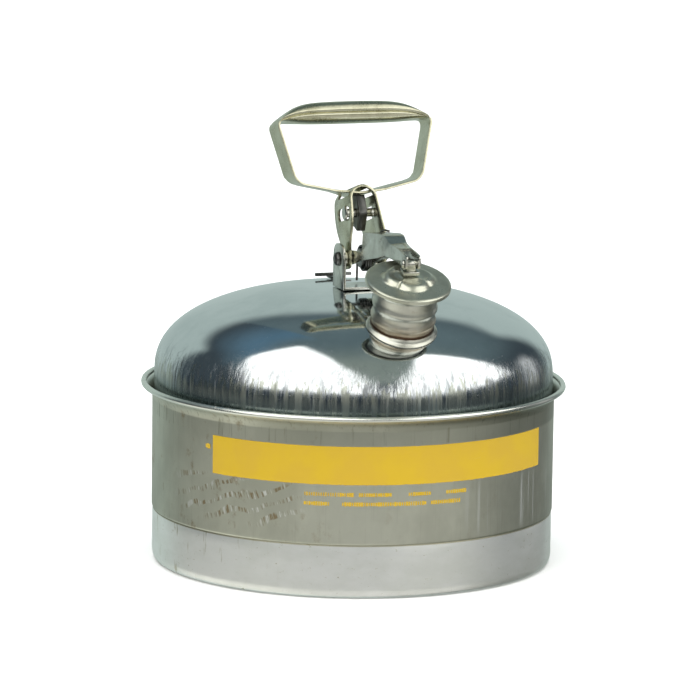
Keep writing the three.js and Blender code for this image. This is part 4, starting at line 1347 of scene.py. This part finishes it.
@dataclass
class Pivot(Assembly):
    """The stand on the dome, its pin and washers, the closing spring and the clip behind it."""

    face: float = 16.0
    pin: float = 2.8
    coil: float = 8.8
    wire: float = 0.8
    turns: int = 3
    spacing: float = 1.75
    first_turn: float = 1.2

    @property
    def place(self) -> Matrix:
        """A frame at the pivot whose Z axis lies along X."""
        return Matrix.Translation(PIVOT) @ CROSSWISE

    def build(self) -> None:
        """Makes every piece of the pivot."""
        self.keep(softened("handle_stand", "stand_plate", 0.5), FITTING, ["handle_stand"])
        self.rear_clip()
        self.pivot_pin()
        self.washers()
        self.spring()

    def rear_clip(self) -> None:
        """The low clip behind the stand, a thin bar on a short foot."""
        low, high = (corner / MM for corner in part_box("rear_clip"))
        foot, middle, back = low.z + 0.2, (low.z + high.z) / 2, high.y
        near = back - 3.2
        bar = [(near, middle - 1.1, 0.5), (back, middle - 1.1, 0.5), (back, middle + 1.1, 0.5),
            (near, middle + 1.1, 0.5)]
        bracket = [
            (low.y, foot), (back, foot), (back, middle, 0.4), (near, middle, 0.4),
            (near, foot + 1.8, 0.4),
            (low.y, foot + 1.8, 0.4),
        ]
        flat = Matrix.Identity(4)
        parts = [
            slab("clip_bar", bar, (low.x, high.x), flat, 0.25),
            slab("clip_foot", bracket, (low.x + 9, high.x - 9), flat, 0.25),
        ]
        # Painted shade: the clip takes the dark finish, so the shade on its upright face is painted into
        # its colour.
        self.keep(joined("rear_clip_plate", parts), DARK, ["rear_clip"])

    def pivot_pin(self) -> None:
        """The hinge pin, with a formed head on the left and a chamfered right end."""
        near = self.face + 0.3
        corners = [
            (0, -near - 3), (2.6, -near - 3, 0.8), (4.6, -near - 1.8, 1.0), (5, -near, 0.3),
            (self.pin, -near),
            (self.pin, near + 3.4, 0.4), (2, near + 4.15, 0.3), (0, near + 4.15),
        ]
        pin = turned("pivot_pin_skin", rounded(corners, closed=False), self.place, 48, closed=False)
        self.keep(pin, DARK, ["pivot_pin"])

    def washers(self) -> None:
        """The push-on nut, the washers beside the yoke and the spring's sleeve."""
        bore = self.pin + 0.25
        yoke, inside = 10.5, self.face - 2.2
        rings = {
            "push_nut": ("pivot_push_nut", self.face + 0.35, self.face + 2.05, 5.5, FITTING),
            "washer_left": ("yoke_washer_left", -inside, -yoke, 5.75, FITTING),
            "washer_right": ("yoke_washer_right", yoke, inside, 5.75, FITTING),
            "sleeve": ("spring_sleeve", -0.25, 6.15, 6.85, DARK),
        }
        for name, (node, low, high, radius, finish) in rings.items():
            corners = [(bore, low, 0.2), (radius, low, 0.35), (radius, high, 0.35),
                (bore, high, 0.2)]
            self.keep(turned(name + "_ring", rounded(corners), self.place, 48), finish, [node])

    def spring(self) -> None:
        """The torsion spring: a coil round the sleeve with a leg each way."""
        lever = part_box("lid_lever")[1].z / MM - PIVOT.z / MM
        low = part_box("torsion_spring")[0].z / MM - PIVOT.z / MM + self.wire
        knots = [(self.first_turn, 9.5, low), (self.first_turn, 9.1, low + 3.5)]
        steps = 12
        for i in range(self.turns * steps + steps // 4 + 1):
            angle = TAU * i / steps
            x = self.first_turn + i / steps * self.spacing
            knots.append((x, self.coil * math.cos(angle), self.coil * math.sin(angle)))
        leg = knots[-1][0]
        tops = [(-9, self.coil + 3.2), (-27, lever - 4.36 + 0.6), (-42, lever - 4.36 + 3.0)]
        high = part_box("torsion_spring")[1].z / MM - PIVOT.z / MM - self.wire
        knots += [(leg, y, min(z, high)) for y, z in tops[:2]]
        knots.append((leg, -42, high))
        path = bpy.data.meshes.new("spring_path")
        origin = np.array(PIVOT)
        path.from_pydata([tuple(origin + np.array(k) * MM) for k in knots],
            [(i, i + 1) for i in range(len(knots) - 1)], [])
        tree = GrowingTree("wire_on_path", {"Wire": self.wire * MM, "Sides": 12, "Steps": 420})
        curve = tree.add("GeometryNodeMeshToCurve", {},
            {"Mesh": Field(tree, tree.given.outputs["Geometry"])})
        eased = tree.add("GeometryNodeCurveSplineType", {"spline_type": "CATMULL_ROM"},
            {"Curve": curve})
        fine = tree.add("GeometryNodeResampleCurve", {},
            {"Curve": eased, "Count": tree.value("Steps")})
        ring = tree.add(
            "GeometryNodeCurvePrimitiveCircle", {},
            {"Resolution": tree.value("Sides"), "Radius": tree.value("Wire")}
        )
        skin = tree.add("GeometryNodeCurveToMesh", {},
            {"Curve": fine, "Profile Curve": ring, "Fill Caps": True})
        tree.finish(skin, DARK.material())
        coil = tree.grow("closing_spring", path)
        smooth(coil, 60)
        start, end = PIVOT + Vector((0, -5, 5)) * MM, PIVOT + Vector((0, -13, 9)) * MM
        self.keep(coil, DARK, ["torsion_spring"], bend=("lid_lever", start, end))


@dataclass
class LidLever(Assembly):
    """The sheet lever that lifts the cap, and the small pin at its tip."""

    fork: float = 5.7

    def build(self) -> None:
        """Makes the lever and its pin."""
        self.keep(softened("lid_lever", "lever_channel", 0.35), FITTING, ["lid_lever"])
        face = self.fork
        corners = [
            (0, -face - 1.35), (2.0, -face - 1.35, 0.6), (2.85, -face - 0.3, 0.3),
            (2.85, -face, 0.1), (1.7, -face),
            (1.7, face), (2.85, face, 0.1), (2.85, face + 0.3, 0.3), (2.0, face + 1.35, 0.6),
            (0, face + 1.35),
        ]
        place = Matrix.Translation(TIP) @ CROSSWISE
        pin = turned("tip_pin", rounded(corners, closed=False), place, 40, closed=False)
        self.keep(pin, FITTING, ["cap_pin"])


# The bail's bottom bars, in millimetres, and how far they turn about their length.
BOTTOM_TILT = math.radians(-8)
BAR_TOP = 60
BAR_END = 50
BAR_FADE = 8
HEAD_HALF = 6
HEAD_FADE = 12
# The grip's lowest line and its rise above it, in millimetres.
GRIP_FOOT = 96.1
GRIP_RISE = 16.05


@dataclass
class Handle(Assembly):
    """The yoke, the sheet strap and its rolled grip, and the pieces that join them."""

    lean: float = math.radians(15.5)
    strap_width: float = 22.5
    strap_sheet: float = 2.0
    forward: float = 2.0
    grip_half: float = 57.0

    @property
    def place(self) -> Matrix:
        """The leaning handle's frame, whose origin is on the pivot."""
        return Matrix.Translation(PIVOT) @ Matrix.Rotation(-self.lean, 4, "X")

    def build(self) -> None:
        """Makes every piece of the handle."""
        self.bail()
        self.keep(softened("handle_yoke", "yoke_plate", 0.4), HANDLE, ["handle_yoke"])
        self.keep(softened("handle_tongue", "tongue_plate", 0.4), DARK, ["handle_tongue"])
        self.pins()

    def bail(self) -> None:
        """The strap, which closes on itself through the grip and swells into it."""
        half = self.strap_sheet / 2
        corners = [
            (-47.2, 55.0, 8), (0, 44.55, 6), (47.2, 55.0, 8), (58.1, 98.9, 6.5), (-58.1, 98.9, 6.5),
        ]
        line = np.array(rounded(corners, 10))
        line = np.vstack([line, line[:1]])
        gaps = np.linalg.norm(np.diff(line, axis=0), axis=1)
        walk = np.concatenate([[0], np.cumsum(gaps)])
        count, sides = 420, 72
        stations = np.linspace(0, walk[-1], count, endpoint=False)
        centre = np.stack([np.interp(stations, walk, line[:, i]) for i in (0, 1)], -1)
        ahead = np.roll(centre, -2, 0) - np.roll(centre, 2, 0)
        ahead /= np.linalg.norm(ahead, axis=1)[:, None]
        normal = np.stack([ahead[:, 1], -ahead[:, 0]], -1)
        sections = []
        for (x, z), (nx, nz) in zip(centre, normal):
            share = abs(x) / self.grip_half
            swell = 1.0 if z > 97.5 and share < 1 else 0.0
            thick, deep, power = half, self.strap_width / 2, 7.0
            lift = 0.0
            if swell:
                low = GRIP_FOOT + 2.0 * share**4
                high = GRIP_FOOT + GRIP_RISE - 2.2 * share**2 - 9.4 * share**7
                inner = 1 - share**6
                thick = half + ((high - low) / 2 - half) * inner
                lift = ((high + low) / 2 - 98.9) * inner
                deep = 9.5 + (self.strap_width / 2 - 9.5) * share**5
                power = 2.15 + 4.8 * share**9
            row = []
            for j in range(sides):
                angle = TAU * j / sides
                c, s = math.cos(angle), math.sin(angle)
                a = abs(c) ** (2 / power) * (1 if c >= 0 else -1)
                b = abs(s) ** (2 / power) * (1 if s >= 0 else -1)
                # The sheet's rolled edge leaves a groove along the front of the grip.
                crease = math.exp(-(((math.degrees(angle) - 176) / 5.0) ** 2)) if swell else 0.0
                pinch = 1 - 0.16 * crease * (1 - share**8)
                y = deep * a * pinch
                out = thick * b
                if z < BAR_TOP and abs(x) < BAR_END:
                    ends = min(1.0, (BAR_END - abs(x)) / BAR_FADE)
                    lie = BOTTOM_TILT * ends * min(1.0, max(0.0, abs(x) - HEAD_HALF) / HEAD_FADE)
                    y, out = y * math.cos(lie), out + y * math.sin(lie)
                row.append((x + nx * out * (0 if swell else 1), y,
                    z + lift + (-nz * -out if not swell else -out)))
            sections.append(row)
        local = np.array(sections) * MM
        local[..., 1] += -self.forward * MM
        turn = np.array(self.place)
        world = local @ turn[:3, :3].T + turn[:3, 3]
        grip = lofted("bail_strap", world, loop=True, sharp=50)
        self.keep(grip, HANDLE, ["handle_bail"])

    def pins(self) -> None:
        """The cross pin, the tongue's rivet and the stud that lifts the lever."""
        face = 10.5
        corners = [
            (0, -face - 1.35), (4.2, -face - 1.35, 0.8), (5.3, -face - 0.5, 0.5),
            (5.3, -face, 0.1), (3.05, -face),
            (3.05, face), (5.3, face, 0.1), (5.3, face + 0.5, 0.5), (4.2, face + 1.35, 0.8),
            (0, face + 1.35),
        ]
        place = self.place @ Matrix.Translation((0, -6.5 * MM, 31.5 * MM)) @ CROSSWISE
        pin = turned("cross_pin", rounded(corners, closed=False), place, 48, closed=False)
        self.keep(pin, FITTING, ["tongue_pin"])
        foot = 43.4 + 0.55 + self.strap_sheet + 0.3
        corners = [(0, 38), (1.6, 38), (1.6, foot), (3.35, foot, 0.2), (2.6, foot + 1.2, 0.8),
            (0, foot + 1.45)]
        place = self.place @ Matrix.Translation((0, -self.forward * MM, 0))
        rivet = turned("strap_rivet", rounded(corners, closed=False), place, 40, closed=False)
        self.keep(rivet, FITTING, ["tongue_rivet"])
        corners = [
            (0, 4.55), (2.1, 4.55, 0.3), (2.4, 5.2, 0.3), (2.4, 10.5), (3.55, 10.5, 0.2),
            (2.9, 11.85, 0.6), (0, 11.85),
        ]
        place = self.place @ Matrix.Translation((0, -18.5 * MM, -8.0 * MM)) @ CROSSWISE
        stud = turned("lift_stud_skin", rounded(corners, closed=False), place, 40, closed=False)
        self.keep(stud, FITTING, ["lift_stud"])


# ------------------------------------------------------------------ studio


@dataclass
class Studio:
    """The pale floor, the soft light and the camera."""

    azimuth: float = math.radians(-19)
    elevation: float = math.radians(9.7)
    distance: float = 3.5
    aim: tuple[float, float, float] = (0.0, 0.0, 0.150)
    lens: float = 252.27
    roll: float = math.radians(0.8)
    shift: tuple[float, float] = (-0.0055, 0.0006)

    def build(self) -> None:
        """Makes the whole studio."""
        self.floor()
        self.overhead()
        self.surroundings()
        self.camera()
        settings = bpy.context.scene.view_settings
        settings.view_transform = "Standard"
        settings.look = "None"

    def floor(self) -> None:
        """A wide pale floor."""
        size = 30.0
        points = np.array([(-size, -size, 0), (size, -size, 0), (size, size, 0), (-size, size, 0)])
        floor = object_from("floor", points, [(0, 1, 2, 3)])
        made = bpy.data.materials.new("floor_pale")
        made.use_nodes = True
        shader = made.node_tree.nodes["Principled BSDF"]
        shader.inputs["Base Color"].default_value = (0.92, 0.92, 0.92, 1)
        shader.inputs["Roughness"].default_value = 0.9
        floor.data.materials.append(made)
        floor.visible_glossy = False

    def overhead(self) -> None:
        """A soft light from straight above, which lights the whole floor evenly."""
        lamp = bpy.data.lights.new("overhead", "SUN")
        lamp.energy = 2.5
        lamp.angle = math.radians(50)
        made = bpy.data.objects.new("overhead", lamp)
        made.location = (0, 0, 5.0)
        made.visible_glossy = False
        bpy.context.scene.collection.objects.link(made)

    def surroundings(self) -> None:
        """The studio as the metal mirrors it: a pale sweep behind, two soft boxes and a dark room."""
        world = bpy.data.worlds.new("studio")
        bpy.context.scene.world = world
        world.use_nodes = True
        world.node_tree.nodes.clear()
        tree = Tree(world.node_tree)
        x, y, z = tree.parts(tree.add("ShaderNodeTexCoord", {}, {}, output="Generated"))
        degrees = 180 / math.pi
        height = z.math("ARCSINE", z) * degrees
        around = x.math("ARCTAN2", x, y * -1.0) * degrees
        behind = x.math("ARCTAN2", x, y) * degrees
        # Each soft box is a patch of a level ceiling one unit up, cut off near the horizon.
        lift = z.above(0.02)
        across, along = x / lift, y / lift
        left_box = (across * -1.0 - 0.17 + along * 0.09).ramp(-0.02,
            0.04) * (0.36 - along).ramp(0.0, 0.05)
        left_box = left_box * (0.56 + across * 0.26 - along).ramp(0.0, 0.08) * height.ramp(5, 11)
        right_box = (across - 0.33).ramp(0.0, 0.06) * (0.05 - across * 0.12 - along).ramp(0.0, 0.06)
        right_box = right_box * (height - (around - 40).above(0.0) * 0.28).ramp(-1, 5)
        card = around.ramp(98, 103) * around.ramp(116, 110) * height.ramp(-12,
            -4) * height.ramp(26, 14)
        sweep = behind.ramp(-44, -32) * behind.ramp(56, 44) * height.ramp(39, 31)
        bounce = around.size().ramp(85, 20)
        table = height.ramp(-7, -28)
        shade_side = around.ramp(45, 85)
        left_side = around.ramp(-100, -135)
        left_low = around.ramp(-35, -80)
        ceiling = (height - left_side * 14).ramp(22, 50)
        blue = around.ramp(-95, -140) * height.ramp(68, 54)
        glow = across.size().ramp(1.1, 0.1) * height.ramp(18, 40) * along.ramp(0.4, -0.4)
        room = tree.blend(ceiling, (0.050, 0.068, 0.080), (0.135, 0.190, 0.205))
        room = tree.blend(blue * ceiling, room, (0.110, 0.220, 0.320))
        room = tree.blend(glow * 0.8, room, (0.285, 0.330, 0.285))
        room = tree.blend(table, room, (0.60, 0.61, 0.55))
        room = tree.blend(table * bounce, room, (0.68, 0.68, 0.65))
        room = tree.blend(table * left_low, room, (0.92, 0.93, 0.86))
        room = tree.blend(table * shade_side, room, (0.06, 0.07, 0.065))
        room = tree.blend(sweep, room, (0.47, 0.565, 0.54))
        room = tree.blend((left_box + right_box + card * 0.35).below(1.0), room, (1.9, 1.9, 1.86))
        shade = tree.add("ShaderNodeBackground", {}, {"Color": room, "Strength": 1.0})
        tree.node("ShaderNodeOutputWorld", {}, {0: shade})

    def camera(self) -> None:
        """The camera, at the object's own view."""
        a, e = self.azimuth, self.elevation
        back = Vector((math.sin(a) * math.cos(e), -math.cos(a) * math.cos(e), math.sin(e)))
        data = bpy.data.cameras.new("camera")
        data.lens = self.lens
        data.sensor_width = 36.0
        data.shift_x, data.shift_y = self.shift
        data.clip_end = 100.0
        made = bpy.data.objects.new("camera", data)
        made.location = Vector(self.aim) + back * self.distance
        turn = (-back).to_track_quat("-Z", "Y").to_matrix().to_4x4() @ Matrix.Rotation(self.roll,
            4, "Z")
        made.rotation_mode = "QUATERNION"
        made.rotation_quaternion = turn.to_quaternion()
        bpy.context.scene.collection.objects.link(made)
        bpy.context.scene.camera = made


def main() -> None:
    """Builds the can and its studio, and reports each piece."""
    logging.basicConfig(level=logging.INFO, format="%(name)s: %(message)s")
    vessel = Vessel("can")
    vessel.build()
    Spout("can").build(vessel)
    Pivot("can").build()
    LidLever("lid_lever").build()
    Handle("handle").build()
    Studio().build()


if __name__ == "__main__":
    main()
